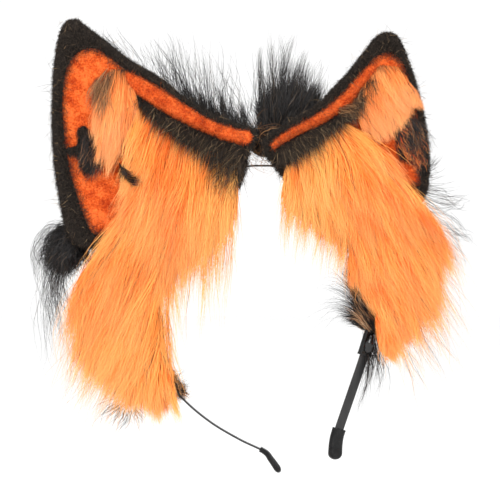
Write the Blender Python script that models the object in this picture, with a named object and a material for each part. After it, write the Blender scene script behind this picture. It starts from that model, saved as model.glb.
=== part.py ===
"""Fox-ear costume headband: a sprung steel band with two felt-lined plush ears and long fur.

Metres, +Z up. The wearer looks along -Y, and +X is to the right in the front view.
The origin is the middle of the band's flat underside at the crown.
"""

import math

import bmesh
import bpy
import numpy as np
from mathutils import Vector
from mathutils.geometry import tessellate_polygon

# The band, a flat spring-steel strip.
BAND_SPAN = 0.110
BAND_HEIGHT = 0.1475
STRIP_WIDTH = 0.0050
STRIP_THICKNESS = 0.0009
CROWN_FLAT = 0.008
RIGHT_LEG_TWIST = math.radians(55)
HINGE_GAP = 0.0005
LEG_FLEX = math.radians(20)

# What is pushed, shrunk or glued onto the band.
CLEARANCE = 0.0003
CAP_LENGTH = 0.0152
CAP_MOUTH_WALL = 0.0004
CAP_TIP_WALL = 0.0010
CAP_GRIP = 0.0075
SLEEVE_WALL = 0.0005
LEFT_SLEEVE_LENGTH = 0.012
RIGHT_SLEEVE_LENGTH = 0.018
WRAP_WALL = 0.0015
WRAP_BARE_CROWN = 0.0185
BEAD_LENGTH = 0.010
BEAD_WIDTH = 0.0052
BEAD_HEIGHT = 0.0022
BEAD_FROM_END = 0.0115
SIDE_FUR_WALL = 0.0025

# The ears. Reach is from the crown's middle out to the far edge, rise is up to the tip.
LEFT_EAR_REACH = 0.101
LEFT_EAR_RISE = 0.0705
RIGHT_EAR_REACH = 0.080
RIGHT_EAR_RISE = 0.064
EAR_CUP = 0.012
SHELL_FLOOR = 0.0018
CORE_THICKNESS = 0.0020
LINING_THICKNESS = 0.0012
TRIM_THICKNESS = 0.0012
PIPING_THICKNESS = 0.0024
FOLD_STEP = 0.009

# The fur.
TUFT_THICKNESS = 0.008
CHEEK_THICKNESS = 0.014
CHEEK_DROP = 0.130
CHEEK_HANG_BACK = -0.0090
BACK_FUR_THICKNESS = 0.013
CORNER_FUR_THICKNESS = 0.011
CROWN_FUR_RISE = 0.055
CROWN_FUR_THICKNESS = 0.020

# Shares of half the span, and of the height below the crown, along each side of the inner face.
LEFT_ROUTE = [
    (0.29, 0.011), (0.56, 0.068), (0.78, 0.176), (0.918, 0.325), (0.973, 0.461),
    (0.942, 0.576), (0.855, 0.668), (0.698, 0.755), (0.455, 0.833), (0.193, 0.8915),
    (-0.020, 0.930), (-0.085, 0.957), (-0.165, 1.0),
]
RIGHT_ROUTE = [
    (0.29, 0.0095), (0.564, 0.064), (0.791, 0.170), (0.927, 0.305), (0.982, 0.420),
    (0.960, 0.525), (0.889, 0.624), (0.782, 0.742), (0.673, 0.861), (0.645, 0.905),
    (0.636, 0.960),
]
HINGE_DEPTH = 0.300
LEFT_SLEEVE_DEPTH = 0.655
RIGHT_SLEEVE_DEPTH = 0.500
TWIST_FROM = 0.400
TWIST_TO = 0.590

# Outlines in shares of the ear's reach outward and of its rise upward.
LEFT_SHELL = [
    (0.950, 0.953), (0.917, 0.997), (0.874, 0.997), (0.836, 0.953), (0.741, 0.851),
    (0.627, 0.724), (0.494, 0.609), (0.366, 0.463), (0.257, 0.361), (0.143, 0.286),
    (0.050, 0.252), (0.030, 0.191), (0.057, 0.095), (0.076, 0.000), (0.109, -0.136),
    (0.190, -0.266), (0.390, -0.422), (0.627, -0.540), (0.794, -0.560), (0.884, -0.520),
    (0.931, -0.420), (0.967, -0.163), (0.987, 0.041), (0.997, 0.313), (0.991, 0.654),
    (0.974, 0.831),
]
LEFT_LINING = [
    (0.836, 0.797), (0.770, 0.783), (0.646, 0.654), (0.494, 0.545), (0.276, 0.335),
    (0.133, 0.240), (0.080, 0.215), (0.085, 0.150), (0.114, 0.007), (0.171, -0.123),
    (0.390, -0.327), (0.627, -0.450), (0.779, -0.470), (0.827, -0.400), (0.893, -0.123),
    (0.929, 0.109), (0.948, 0.402), (0.936, 0.620), (0.893, 0.749),
]
LEFT_PIPING = [
    (0.640, 0.635), (0.494, 0.530), (0.276, 0.330), (0.133, 0.237), (0.085, 0.215),
    (0.090, 0.150), (0.114, 0.147), (0.204, 0.195), (0.423, 0.340), (0.607, 0.505),
]
LEFT_FOLD = [
    (0.596, 0.480), (0.423, 0.322), (0.204, 0.177), (0.128, 0.130), (0.120, 0.054),
    (0.130, -0.027), (0.185, -0.110), (0.223, -0.082), (0.271, 0.075), (0.413, 0.215),
    (0.532, 0.350),
]
LEFT_OUTER_PATCH = [
    (0.920, 0.136), (0.879, 0.150), (0.874, 0.238), (0.827, 0.245), (0.813, 0.109),
    (0.813, -0.027), (0.855, -0.027), (0.879, 0.068), (0.915, 0.068),
]
LEFT_INNER_PATCH = [
    (0.675, 0.000), (0.642, -0.007), (0.580, -0.095), (0.608, -0.136), (0.646, -0.143),
    (0.665, -0.082),
]
RIGHT_SHELL = [
    (0.732, 1.000), (0.783, 1.000), (0.831, 0.934), (0.882, 0.772), (0.912, 0.667),
    (0.936, 0.547), (0.960, 0.420), (0.978, 0.292), (0.993, 0.120), (0.996, -0.045),
    (0.972, -0.225), (0.876, -0.300), (0.648, -0.277), (0.408, -0.225), (0.180, -0.142),
    (0.072, 0.000), (0.022, 0.075), (0.006, 0.172), (0.060, 0.240), (0.228, 0.367),
    (0.348, 0.472), (0.408, 0.562), (0.492, 0.667), (0.546, 0.750), (0.600, 0.833),
    (0.648, 0.915), (0.690, 0.975),
]
RIGHT_LINING = [
    (0.690, 0.833), (0.774, 0.847), (0.846, 0.765), (0.888, 0.607), (0.924, 0.420),
    (0.942, 0.195), (0.942, -0.045), (0.924, -0.160), (0.648, -0.190), (0.408, -0.138),
    (0.216, -0.055), (0.132, 0.030), (0.075, 0.100), (0.048, 0.160), (0.138, 0.255),
    (0.348, 0.405), (0.462, 0.515), (0.546, 0.632), (0.636, 0.762),
]
RIGHT_PIPING = [
    (0.640, 0.748), (0.684, 0.760), (0.666, 0.690), (0.606, 0.607), (0.570, 0.547),
    (0.522, 0.465), (0.348, 0.326), (0.225, 0.251), (0.114, 0.170), (0.070, 0.120),
    (0.054, 0.158), (0.138, 0.248), (0.348, 0.399), (0.462, 0.510), (0.546, 0.625),
]
RIGHT_FOLD = [
    (0.672, 0.672), (0.635, 0.560), (0.574, 0.440), (0.348, 0.225), (0.228, 0.112),
    (0.165, 0.060), (0.110, 0.060), (0.090, 0.105), (0.126, 0.152), (0.238, 0.230),
    (0.358, 0.300), (0.540, 0.446), (0.590, 0.528), (0.624, 0.588),
]
RIGHT_PATCH = [
    (0.820, 0.330), (0.888, 0.340), (0.918, 0.270), (0.922, 0.060), (0.838, 0.045),
    (0.806, 0.158),
]

# A bore with rounded corners is a fourth root of two wider than the square strip inside it.
CORNER_ROOM = 2 ** 0.25
BORE_WIDTH = STRIP_WIDTH * CORNER_ROOM + 2 * CLEARANCE
BORE_THICKNESS = STRIP_THICKNESS * CORNER_ROOM + 2 * CLEARANCE
WRAP_HALF_WIDTH = BORE_WIDTH / 2 + WRAP_WALL
WRAP_HALF_THICKNESS = BORE_THICKNESS / 2 + WRAP_WALL
BACK_OF_SHELLS = -(WRAP_HALF_WIDTH + CLEARANCE)


def clear_scene():
    for old in list(bpy.data.objects):
        bpy.data.objects.remove(old, do_unlink=True)


def material(name, colour, roughness, metallic=0.0):
    """A plain Principled material in the piece's own colour."""
    made = bpy.data.materials.new(name)
    made.use_nodes = True
    shader = made.node_tree.nodes["Principled BSDF"]
    shader.inputs["Base Color"].default_value = (*colour, 1.0)
    shader.inputs["Roughness"].default_value = roughness
    shader.inputs["Metallic"].default_value = metallic
    made.diffuse_color = (*colour, 1.0)
    return made


def add_object(name, bm, look):
    """Puts a closed bmesh into the scene as one named piece, facing outward."""
    bmesh.ops.remove_doubles(bm, verts=bm.verts, dist=1e-7)
    bmesh.ops.recalc_face_normals(bm, faces=bm.faces)
    mesh = bpy.data.meshes.new(name)
    bm.to_mesh(mesh)
    bm.free()
    mesh.materials.append(look)
    obj = bpy.data.objects.new(name, mesh)
    bpy.context.scene.collection.objects.link(obj)
    return obj


# ---------------------------------------------------------------- the band's path


def catmull_rom(points, per_span):
    """A smooth open curve through the points."""
    ends = [2 * points[0] - points[1], *points, 2 * points[-1] - points[-2]]
    curve = []
    for a, b, c, d in zip(ends, ends[1:], ends[2:], ends[3:]):
        for step in range(per_span):
            t = step / per_span
            curve.append(
                0.5
                * (2 * b + (c - a) * t + (2 * a - 5 * b + 4 * c - d) * t**2
                   + (3 * b - a - 3 * c + d) * t**3)
            )
    curve.append(points[-1])
    return curve


class BandSide:
    """One side of the band's inner face, from the crown's middle down to the cap's tip."""

    def __init__(self, sign, route, twist):
        self.sign = sign
        self.twist = twist
        half = BAND_SPAN / 2
        flat_end = Vector((CROWN_FLAT / 2, 0.0))
        knots = [flat_end] + [Vector((half * out, -BAND_HEIGHT * down)) for out, down in route]
        curve = [Vector((0.0, 0.0))] + catmull_rom(knots, 24)
        self.x = np.array([p.x for p in curve]) * sign
        self.z = np.array([p.y for p in curve])
        steps = np.hypot(np.diff(self.x), np.diff(self.z))
        self.run = np.concatenate([[0.0], np.cumsum(steps)])
        self.length = float(self.run[-1])

    def run_at_depth(self, share):
        """How far along the side it first reaches this share of the band's height."""
        return float(np.interp(share * BAND_HEIGHT, -self.z, self.run))

    def clear_of_wrap(self, z):
        """How far out the band and its wrap have been passed at this height."""
        return float(np.interp(-z, -self.z, np.abs(self.x))) + 2 * WRAP_HALF_THICKNESS + CLEARANCE

    def frame(self, run):
        """(point, along, across, outward) at this distance from the crown."""
        x, z = (np.interp(run, self.run, values) for values in (self.x, self.z))
        ahead = min(run + 0.0005, self.length)
        behind = max(run - 0.0005, 0.0)
        along = Vector((
            np.interp(ahead, self.run, self.x) - np.interp(behind, self.run, self.x),
            0.0,
            np.interp(ahead, self.run, self.z) - np.interp(behind, self.run, self.z),
        )).normalized()
        outward = Vector((-along.z, 0.0, along.x)) * self.sign
        start, end = self.run_at_depth(TWIST_FROM), self.run_at_depth(TWIST_TO)
        turned = np.clip((run - start) / (end - start), 0.0, 1.0)
        angle = self.twist * turned * turned * (3 - 2 * turned)
        across = math.cos(angle) * Vector((0.0, 1.0, 0.0)) + math.sin(angle) * outward
        return Vector((x, 0.0, z)), along, across, along.cross(across) * self.sign


def side_ring(side, run, width, thickness, corners, middle=STRIP_THICKNESS / 2):
    """A closed ring of points around the strip, flat-sided with rounded corners."""
    point, _, across, outward = side.frame(run)
    centre = point + outward * middle
    ring = []
    for index in range(corners):
        turn = 2 * math.pi * (index + 0.5) / corners
        reach = (abs(math.cos(turn)) ** 4 + abs(math.sin(turn)) ** 4) ** -0.25
        ring.append(
            centre
            + across * (width / 2 * reach * math.cos(turn))
            + outward * (thickness / 2 * reach * math.sin(turn))
        )
    return ring


def strip_ring(side, run):
    """The strip's own section, built outward from its inner face."""
    point, _, across, outward = side.frame(run)
    edge = across * (STRIP_WIDTH / 2)
    back = outward * STRIP_THICKNESS
    return [point - edge, point + edge, point + edge + back, point - edge + back]


def loft(rings, closed=False):
    """Skins rings of equal count. An open loft has a flat end on each end ring."""
    bm = bmesh.new()
    rows = [[bm.verts.new(point) for point in ring] for ring in rings]
    pairs = list(zip(rows, rows[1:]))
    if closed:
        pairs.append((rows[-1], rows[0]))
    for first, second in pairs:
        for here in range(len(first)):
            there = (here + 1) % len(first)
            bm.faces.new((first[here], first[there], second[there], second[here]))
    if not closed:
        bm.faces.new(reversed(rows[0]))
        bm.faces.new(rows[-1])
    return bm


def strip_piece(name, side, start, end, look, count=26):
    rings = [strip_ring(side, run) for run in np.linspace(start, end, count)]
    return add_object(name, loft(rings), look)


def crown_piece(name, left, right, hinge_left, hinge_right, look):
    """The strip from hinge to hinge over the crown, with the flat in the middle."""
    left_runs = np.linspace(hinge_left, CROWN_FLAT / 2, 22)
    right_runs = np.linspace(CROWN_FLAT / 2, hinge_right, 22)
    rings = [strip_ring(left, run) for run in left_runs]
    rings += [strip_ring(right, run) for run in right_runs]
    return add_object(name, loft(rings), look)


def tube_piece(name, side, start, end, wall, look, count=10, corners=12):
    """A close tube around the strip, open at both ends."""
    runs = np.linspace(start, end, count)
    inner = [side_ring(side, run, BORE_WIDTH, BORE_THICKNESS, corners) for run in runs]
    outer = [
        side_ring(side, run, BORE_WIDTH + 2 * wall, BORE_THICKNESS + 2 * wall, corners)
        for run in reversed(runs)
    ]
    return add_object(name, loft(inner + outer, closed=True), look)


def cap_piece(name, side, look, corners=16):
    """A soft tip with a slot for the strip's end, growing thicker towards a round end."""
    mouth = side.length - CAP_LENGTH
    rings = [
        side_ring(side, run, BORE_WIDTH, BORE_THICKNESS, corners)
        for run in np.linspace(mouth + CAP_GRIP + CLEARANCE, mouth, 5)
    ]
    for share in np.linspace(0.0, 1.0, 13):
        thick = BORE_THICKNESS + 2 * (CAP_MOUTH_WALL + (CAP_TIP_WALL - CAP_MOUTH_WALL) * share)
        wide = BORE_WIDTH + 2 * CAP_MOUTH_WALL
        narrowed = math.sqrt(max(1 - max((share - 0.80) / 0.205, 0.0) ** 2, 0.04))
        run = mouth + CAP_LENGTH * share
        rings.append(side_ring(side, run, wide * narrowed, thick * narrowed, corners))
    return add_object(name, loft(rings), look)


def bead_piece(name, side, start, look, corners=9):
    """A set drop of hot glue lying on the outer flat of a sleeve."""
    sleeve_surface = STRIP_THICKNESS / 2 + BORE_THICKNESS / 2 + SLEEVE_WALL + CLEARANCE
    rings = []
    for share in np.linspace(0.0, 1.0, 9):
        point, _, across, outward = side.frame(start + BEAD_LENGTH * share)
        swell = math.sqrt(max(1 - (2 * share - 1) ** 2, 0.08))
        foot = point + outward * sleeve_surface
        ring = []
        for corner in range(corners):
            turn = math.pi * corner / (corners - 1)
            ring.append(
                foot
                + across * (BEAD_WIDTH / 2 * swell * math.cos(turn))
                + outward * (BEAD_HEIGHT * swell * math.sin(turn))
            )
        rings.append(ring)
    return add_object(name, loft(rings), look)


# ---------------------------------------------------------------- the ears


class Ear:
    """The gentle trough that every layer of one ear follows: edges forward, middle back."""

    def __init__(self, sign, reach, rise, foot, tip, half_width):
        self.sign = sign
        self.reach = reach
        self.rise = rise
        self.foot = Vector((sign * reach * foot[0], rise * foot[1]))
        tip_point = Vector((sign * reach * tip[0], rise * tip[1]))
        lengthwise = (tip_point - self.foot).normalized()
        self.crosswise = Vector((lengthwise.y, -lengthwise.x))
        self.half_width = reach * half_width

    def place(self, shares):
        return Vector((self.sign * self.reach * shares[0], self.rise * shares[1]))

    def forward(self, x, z):
        """How far the ear comes forward here, straight between fold lines."""
        across = (Vector((x, z)) - self.foot).dot(self.crosswise)
        low = math.floor(across / FOLD_STEP) * FOLD_STEP
        at_low = EAR_CUP * (low / self.half_width) ** 2
        at_high = EAR_CUP * ((low + FOLD_STEP) / self.half_width) ** 2
        return at_low + (at_high - at_low) * (across - low) / FOLD_STEP

    def bend(self, bm):
        """Cuts the flat layer at every fold line, then moves it onto the trough."""
        normal = Vector((self.crosswise.x, 0.0, self.crosswise.y))
        reach = int(2 * self.half_width / FOLD_STEP) + 4
        for fold in range(-reach, reach + 1):
            foot = Vector((self.foot.x, 0.0, self.foot.y)) + normal * (fold * FOLD_STEP)
            geometry = bm.verts[:] + bm.edges[:] + bm.faces[:]
            bmesh.ops.bisect_plane(bm, geom=geometry, dist=1e-7, plane_co=foot, plane_no=normal)
        for vert in bm.verts:
            vert.co.y -= self.forward(vert.co.x, vert.co.z)


def rounded(corners, per_span=2):
    """A smooth closed outline through the corners."""
    count = len(corners)
    curve = []
    for index in range(count):
        a, b, c, d = (corners[(index + shift) % count] for shift in (-1, 0, 1, 2))
        for step in range(per_span):
            t = step / per_span
            curve.append(
                0.5
                * (2 * b + (c - a) * t + (2 * a - 5 * b + 4 * c - d) * t**2
                   + (3 * b - a - 3 * c + d) * t**3)
            )
    return curve


def grown(outline, distance):
    """The outline moved outward by a distance, corner by corner."""
    area = sum(a.x * b.y - b.x * a.y for a, b in zip(outline, outline[1:] + outline[:1]))
    turn = 1.0 if area > 0 else -1.0
    moved = []
    for before, here, after in zip(outline[-1:] + outline[:-1], outline, outline[1:] + outline[:1]):
        ways = ((here - before).normalized(), (after - here).normalized())
        first, second = (Vector((way.y, -way.x)) * turn for way in ways)
        middle = (first + second).normalized()
        moved.append(here + middle * (distance / max(middle.dot(first), 0.5)))
    return moved


def slab(ear, outline, back, front):
    """A flat layer between two depths, bent onto the ear."""
    bm = bmesh.new()
    rows = [[bm.verts.new((p.x, depth, p.y)) for p in outline] for depth in (back, front)]
    bm.faces.new(rows[0])
    bm.faces.new(reversed(rows[1]))
    for here in range(len(outline)):
        there = (here + 1) % len(outline)
        bm.faces.new((rows[0][here], rows[1][here], rows[1][there], rows[0][there]))
    ear.bend(bm)
    return bm


def tray(ear, outline, pocket, back, floor, front):
    """The shell: a back with a rim turned over to the front, open over the pocket."""
    bm = bmesh.new()
    outer_back = [bm.verts.new((p.x, back, p.y)) for p in outline]
    outer_front = [bm.verts.new((p.x, front, p.y)) for p in outline]
    inner_front = [bm.verts.new((p.x, front, p.y)) for p in pocket]
    inner_floor = [bm.verts.new((p.x, floor, p.y)) for p in pocket]
    bm.faces.new(outer_back)
    bm.faces.new(reversed(inner_floor))
    for row, other in ((outer_back, outer_front), (inner_floor, inner_front)):
        for here in range(len(row)):
            there = (here + 1) % len(row)
            bm.faces.new((row[here], other[here], other[there], row[there]))
    rim = outer_front + inner_front
    loops = [[v.co.xzy for v in ring] for ring in (outer_front, inner_front)]
    for corner in tessellate_polygon(loops):
        bm.faces.new([rim[index] for index in corner])
    ear.bend(bm)
    return bm


def build_ear(side_name, ear, outlines, looks):
    """Shell, core, lining, piping, fold and patches of one ear, from back to front."""
    back = BACK_OF_SHELLS
    floor = back - SHELL_FLOOR
    core_back = floor - CLEARANCE
    lining_back = core_back - CORE_THICKNESS - CLEARANCE
    lining_front = lining_back - LINING_THICKNESS
    trim_back = lining_front - CLEARANCE
    shell = rounded([ear.place(p) for p in outlines["shell"]])
    lining = rounded([ear.place(p) for p in outlines["lining"]])
    pocket = grown(lining, 2 * CLEARANCE)
    tray_bm = tray(ear, shell, pocket, back, floor, lining_front)
    add_object(f"{side_name}_ear_shell", tray_bm, looks["plush"])
    core = slab(ear, lining, core_back, core_back - CORE_THICKNESS)
    add_object(f"{side_name}_ear_core", core, looks["core"])
    front = slab(ear, lining, lining_back, lining_front)
    add_object(f"{side_name}_ear_lining", front, looks["felt"])
    for key, thickness, look in (
        ("piping", PIPING_THICKNESS, "felt"),
        ("fold", TRIM_THICKNESS, "plush"),
        ("outer_patch", TRIM_THICKNESS, "plush"),
        ("inner_patch", TRIM_THICKNESS, "plush"),
    ):
        if key not in outlines:
            continue
        outline = [ear.place(p) for p in outlines[key]]
        piece = slab(ear, outline, trim_back, trim_back - thickness)
        add_object(f"{side_name}_ear_{key}", piece, looks[look])
    return trim_back - PIPING_THICKNESS - CLEARANCE


# ---------------------------------------------------------------- the fur


def fur_ring(z, x_from, x_to, base, thickness, spans=6):
    """A level section: along the surface it grows from, and back over its rounded outside."""
    across = np.linspace(x_from, x_to, spans + 1)
    ring = [Vector((x, base(x), z)) for x in across]
    for x in across[-2:0:-1]:
        middle = (x - x_from) / (x_to - x_from)
        swell = math.sin(math.pi * middle) ** 0.6
        ring.append(Vector((x, base(x) + thickness * swell, z)))
    return ring


def front_fur(name, ear, surface, levels, thickness, look):
    """Fur that lies on the ear's front and, below the ear, hangs freely at one depth.

    Each level is (outward from, outward to, up, share that lies on the ear, fullness).
    """
    rings = []
    for out_from, out_to, up, on_ear, fullness in levels:
        z = ear.rise * up
        x_from, x_to = sorted(ear.sign * ear.reach * out for out in (out_from, out_to))

        def base(x, z=z, on_ear=on_ear):
            return (surface - ear.forward(x, z)) * on_ear + CHEEK_HANG_BACK * (1 - on_ear)

        rings.append(fur_ring(z, x_from, x_to, base, -thickness * fullness))
    return add_object(name, loft(rings), look)


def back_fur(name, ear, side, levels, thickness, look):
    """Fur that grows from the back of an ear, outside the band and its wrap.

    Each level is (outward from, outward to, up, fullness).
    """
    rings = []
    for out_from, out_to, up, fullness in levels:
        z = ear.rise * up
        inner = max(ear.reach * out_from, side.clear_of_wrap(z))
        x_from, x_to = sorted((ear.sign * inner, ear.sign * ear.reach * out_to))

        def base(x, z=z):
            return BACK_OF_SHELLS + 3 * CLEARANCE - ear.forward(x, z)

        rings.append(fur_ring(z, x_from, x_to, base, thickness * fullness))
    return add_object(name, loft(rings), look)


def crown_fur(name, levels, look):
    """The full tuft behind the crown, from the top of the wrap up: (x from, x to, up, fullness)."""
    foot = STRIP_THICKNESS / 2 + WRAP_HALF_THICKNESS + CLEARANCE
    rings = []
    for x_from, x_to, up, fullness in levels:
        z = foot + (CROWN_FUR_RISE - foot) * up
        rings.append(
            fur_ring(z, x_from, x_to, lambda x: BACK_OF_SHELLS + CLEARANCE,
                     CROWN_FUR_THICKNESS * fullness)
        )
    return add_object(name, loft(rings), look)


def build_band(left, right, looks):
    """The strip in three lengths, and everything pushed, shrunk or glued onto it."""
    fur_half = BORE_THICKNESS / 2 + SIDE_FUR_WALL
    fur_room = HINGE_GAP / 2 + fur_half * math.tan(LEG_FLEX)
    hinges = {side: side.run_at_depth(HINGE_DEPTH) for side in (left, right)}
    crown_piece(
        "band_crown", left, right,
        hinges[left] - HINGE_GAP / 2, hinges[right] - HINGE_GAP / 2, looks["steel"],
    )
    for name, side, depth, length in (
        ("left", left, LEFT_SLEEVE_DEPTH, LEFT_SLEEVE_LENGTH),
        ("right", right, RIGHT_SLEEVE_DEPTH, RIGHT_SLEEVE_LENGTH),
    ):
        leg_start = hinges[side] + HINGE_GAP / 2
        mouth = side.length - CAP_LENGTH
        strip_piece(f"band_{name}_leg", side, leg_start, mouth + CAP_GRIP, looks["steel"])
        cap_piece(f"{name}_end_cap", side, looks["rubber"])
        sleeve_start = side.run_at_depth(depth)
        sleeve_end = sleeve_start + length
        tube_piece(f"{name}_sleeve", side, sleeve_start, sleeve_end, SLEEVE_WALL, looks["rubber"])
        tube_piece(
            f"{name}_base_wrap", side, WRAP_BARE_CROWN / 2, hinges[side] - HINGE_GAP / 2,
            WRAP_WALL, looks["plush"], count=14, corners=10,
        )
        tube_piece(
            f"{name}_side_fur", side, hinges[side] + fur_room, sleeve_start - CLEARANCE,
            SIDE_FUR_WALL, looks["black_fur"], count=12, corners=10,
        )
        bead_piece(f"{name}_glue_bead", side, sleeve_end - BEAD_FROM_END, looks["glue"])


def build_fur(left_ear, right_ear, left, right, fronts, looks):
    """The tufts in the ears, the cheek fur in front, and the black fur behind."""
    front_fur(
        "left_ear_tuft", left_ear, fronts["left"],
        [
            (0.700, 0.780, 0.690, 1, 0.35), (0.660, 0.800, 0.600, 1, 0.8),
            (0.640, 0.800, 0.400, 1, 1.0), (0.640, 0.790, 0.150, 1, 1.0),
            (0.650, 0.770, 0.020, 1, 0.5),
        ],
        TUFT_THICKNESS, looks["light_fur"],
    )
    front_fur(
        "left_cheek_fur", left_ear, fronts["left"],
        [
            (0.530, 0.620, 0.360, 1, 0.35), (0.380, 0.630, 0.200, 1, 0.8),
            (0.215, 0.630, 0.000, 1, 0.9), (0.200, 0.780, -0.180, 1, 1.0),
            (0.240, 0.860, -0.400, 1, 1.0), (0.300, 0.925, -0.600, 1, 1.0),
            (0.420, 0.935, -1.000, 0.15, 1.0), (0.470, 0.930, -1.300, 0, 0.9),
            (0.440, 0.860, -1.560, 0, 0.7), (0.420, 0.740, -CHEEK_DROP / LEFT_EAR_RISE, 0, 0.4),
        ],
        CHEEK_THICKNESS, looks["fur"],
    )
    front_fur(
        "right_ear_tuft", right_ear, fronts["right"],
        [
            (0.690, 0.800, 0.740, 1, 0.35), (0.690, 0.850, 0.640, 1, 0.8),
            (0.640, 0.880, 0.480, 1, 1.0), (0.620, 0.790, 0.380, 1, 1.0),
        ],
        TUFT_THICKNESS, looks["light_fur"],
    )
    front_fur(
        "right_cheek_fur", right_ear, fronts["right"],
        [
            (0.420, 0.780, 0.360, 1, 0.5), (0.250, 0.820, 0.200, 1, 0.9),
            (0.120, 0.920, 0.020, 1, 1.0), (0.130, 1.020, -0.200, 1, 1.0),
            (0.200, 1.080, -0.330, 0.9, 1.0), (0.400, 1.150, -0.800, 0.1, 1.0),
            (0.480, 1.180, -1.200, 0, 1.0), (0.600, 1.120, -1.600, 0, 0.8),
            (0.650, 1.000, -0.9 * CHEEK_DROP / RIGHT_EAR_RISE, 0, 0.4),
        ],
        CHEEK_THICKNESS, looks["fur"],
    )
    crown_fur(
        "crown_back_fur",
        [
            (-0.0110, 0.0110, 0.0, 0.6), (-0.0125, 0.0125, 0.13, 0.9),
            (-0.0170, 0.0145, 0.25, 1.0), (-0.0190, 0.0240, 0.42, 1.0),
            (-0.0150, 0.0310, 0.71, 0.8), (-0.0060, 0.0260, 1.0, 0.4),
        ],
        looks["black_fur"],
    )
    back_fur(
        "left_back_fur", left_ear, left,
        [
            (0.490, 0.870, -0.370, 0.5), (0.395, 0.910, -0.170, 0.9),
            (0.280, 0.910, 0.000, 1.0), (0.150, 0.890, 0.140, 1.0),
            (0.290, 0.850, 0.310, 0.9), (0.475, 0.800, 0.510, 0.7), (0.580, 0.750, 0.620, 0.4),
        ],
        BACK_FUR_THICKNESS, looks["black_fur"],
    )
    back_fur(
        "left_corner_fur", left_ear, left,
        [
            (0.965, 1.010, -0.860, 0.5), (0.955, 1.040, -0.720, 0.9),
            (0.950, 1.060, -0.560, 1.0), (0.900, 1.050, -0.440, 0.8), (0.925, 1.020, -0.330, 0.4),
        ],
        CORNER_FUR_THICKNESS, looks["black_fur"],
    )
    back_fur(
        "right_back_fur", right_ear, right,
        [
            (0.520, 0.900, -0.220, 0.5), (0.400, 0.940, -0.080, 0.9),
            (0.190, 0.940, 0.080, 1.0), (0.210, 0.930, 0.250, 1.0),
            (0.410, 0.880, 0.470, 0.8), (0.560, 0.830, 0.650, 0.4),
        ],
        BACK_FUR_THICKNESS, looks["black_fur"],
    )


def main():
    clear_scene()
    looks = {
        "steel": material("painted_spring_steel", (0.030, 0.030, 0.032), 0.42, 0.3),
        "rubber": material("soft_black_plastic", (0.028, 0.028, 0.028), 0.45),
        "glue": material("hot_melt_glue", (0.012, 0.011, 0.011), 0.12),
        "plush": material("black_plush", (0.030, 0.024, 0.020), 0.95),
        "core": material("ear_foam", (0.60, 0.58, 0.54), 0.9),
        "felt": material("orange_felt", (0.86, 0.130, 0.022), 0.95),
        "fur": material("orange_fur", (0.93, 0.290, 0.060), 0.75),
        "light_fur": material("light_orange_fur", (0.94, 0.360, 0.110), 0.75),
        "black_fur": material("black_fur", (0.012, 0.010, 0.010), 0.65),
    }
    left = BandSide(-1, LEFT_ROUTE, 0.0)
    right = BandSide(1, RIGHT_ROUTE, RIGHT_LEG_TWIST)
    build_band(left, right, looks)
    left_ear = Ear(-1, LEFT_EAR_REACH, LEFT_EAR_RISE, (0.485, -0.330), (0.900, 1.0), 0.50)
    right_ear = Ear(1, RIGHT_EAR_REACH, RIGHT_EAR_RISE, (0.525, -0.180), (0.757, 1.0), 0.52)
    fronts = {
        "left": build_ear("left", left_ear, {
            "shell": LEFT_SHELL, "lining": LEFT_LINING, "piping": LEFT_PIPING,
            "fold": LEFT_FOLD, "outer_patch": LEFT_OUTER_PATCH,
            "inner_patch": LEFT_INNER_PATCH,
        }, looks),
        "right": build_ear("right", right_ear, {
            "shell": RIGHT_SHELL, "lining": RIGHT_LINING, "piping": RIGHT_PIPING,
            "fold": RIGHT_FOLD, "outer_patch": RIGHT_PATCH,
        }, looks),
    }
    build_fur(left_ear, right_ear, left, right, fronts, looks)


main()
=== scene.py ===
"""Fox-ear costume headband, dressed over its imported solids: sprung strip, felt-lined plush ears, long fur.

Metres, +Z up, the wearer looks along -Y. Made from the band outward: strip, tips, sleeves, glue,
wraps, ears from back to front, then the fur from the back of the ears to the front.
"""

import math

import bpy
import numpy as np
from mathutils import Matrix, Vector
from mathutils.geometry import delaunay_2d_cdt
from mathutils.kdtree import KDTree


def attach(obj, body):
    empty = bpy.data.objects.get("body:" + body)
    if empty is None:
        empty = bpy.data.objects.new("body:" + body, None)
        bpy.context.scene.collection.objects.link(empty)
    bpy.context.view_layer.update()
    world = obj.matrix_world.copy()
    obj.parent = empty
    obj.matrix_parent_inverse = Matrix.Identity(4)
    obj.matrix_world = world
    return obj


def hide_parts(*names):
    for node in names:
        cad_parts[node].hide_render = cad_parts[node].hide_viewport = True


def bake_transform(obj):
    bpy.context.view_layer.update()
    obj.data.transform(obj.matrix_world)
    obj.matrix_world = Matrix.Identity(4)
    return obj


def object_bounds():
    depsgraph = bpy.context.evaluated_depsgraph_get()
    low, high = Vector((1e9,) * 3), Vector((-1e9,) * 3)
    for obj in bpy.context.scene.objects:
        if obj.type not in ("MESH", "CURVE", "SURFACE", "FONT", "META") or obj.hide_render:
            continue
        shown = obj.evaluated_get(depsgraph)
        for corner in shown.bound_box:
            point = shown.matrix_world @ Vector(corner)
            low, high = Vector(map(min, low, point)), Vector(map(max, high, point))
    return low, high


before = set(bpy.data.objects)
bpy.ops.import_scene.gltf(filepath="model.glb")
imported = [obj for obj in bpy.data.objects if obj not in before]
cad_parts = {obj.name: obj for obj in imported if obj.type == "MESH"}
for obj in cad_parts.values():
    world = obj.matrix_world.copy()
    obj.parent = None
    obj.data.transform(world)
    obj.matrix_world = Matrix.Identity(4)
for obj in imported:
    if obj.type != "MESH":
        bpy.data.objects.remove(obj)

cad_box = [list(corner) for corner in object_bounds()]

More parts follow.
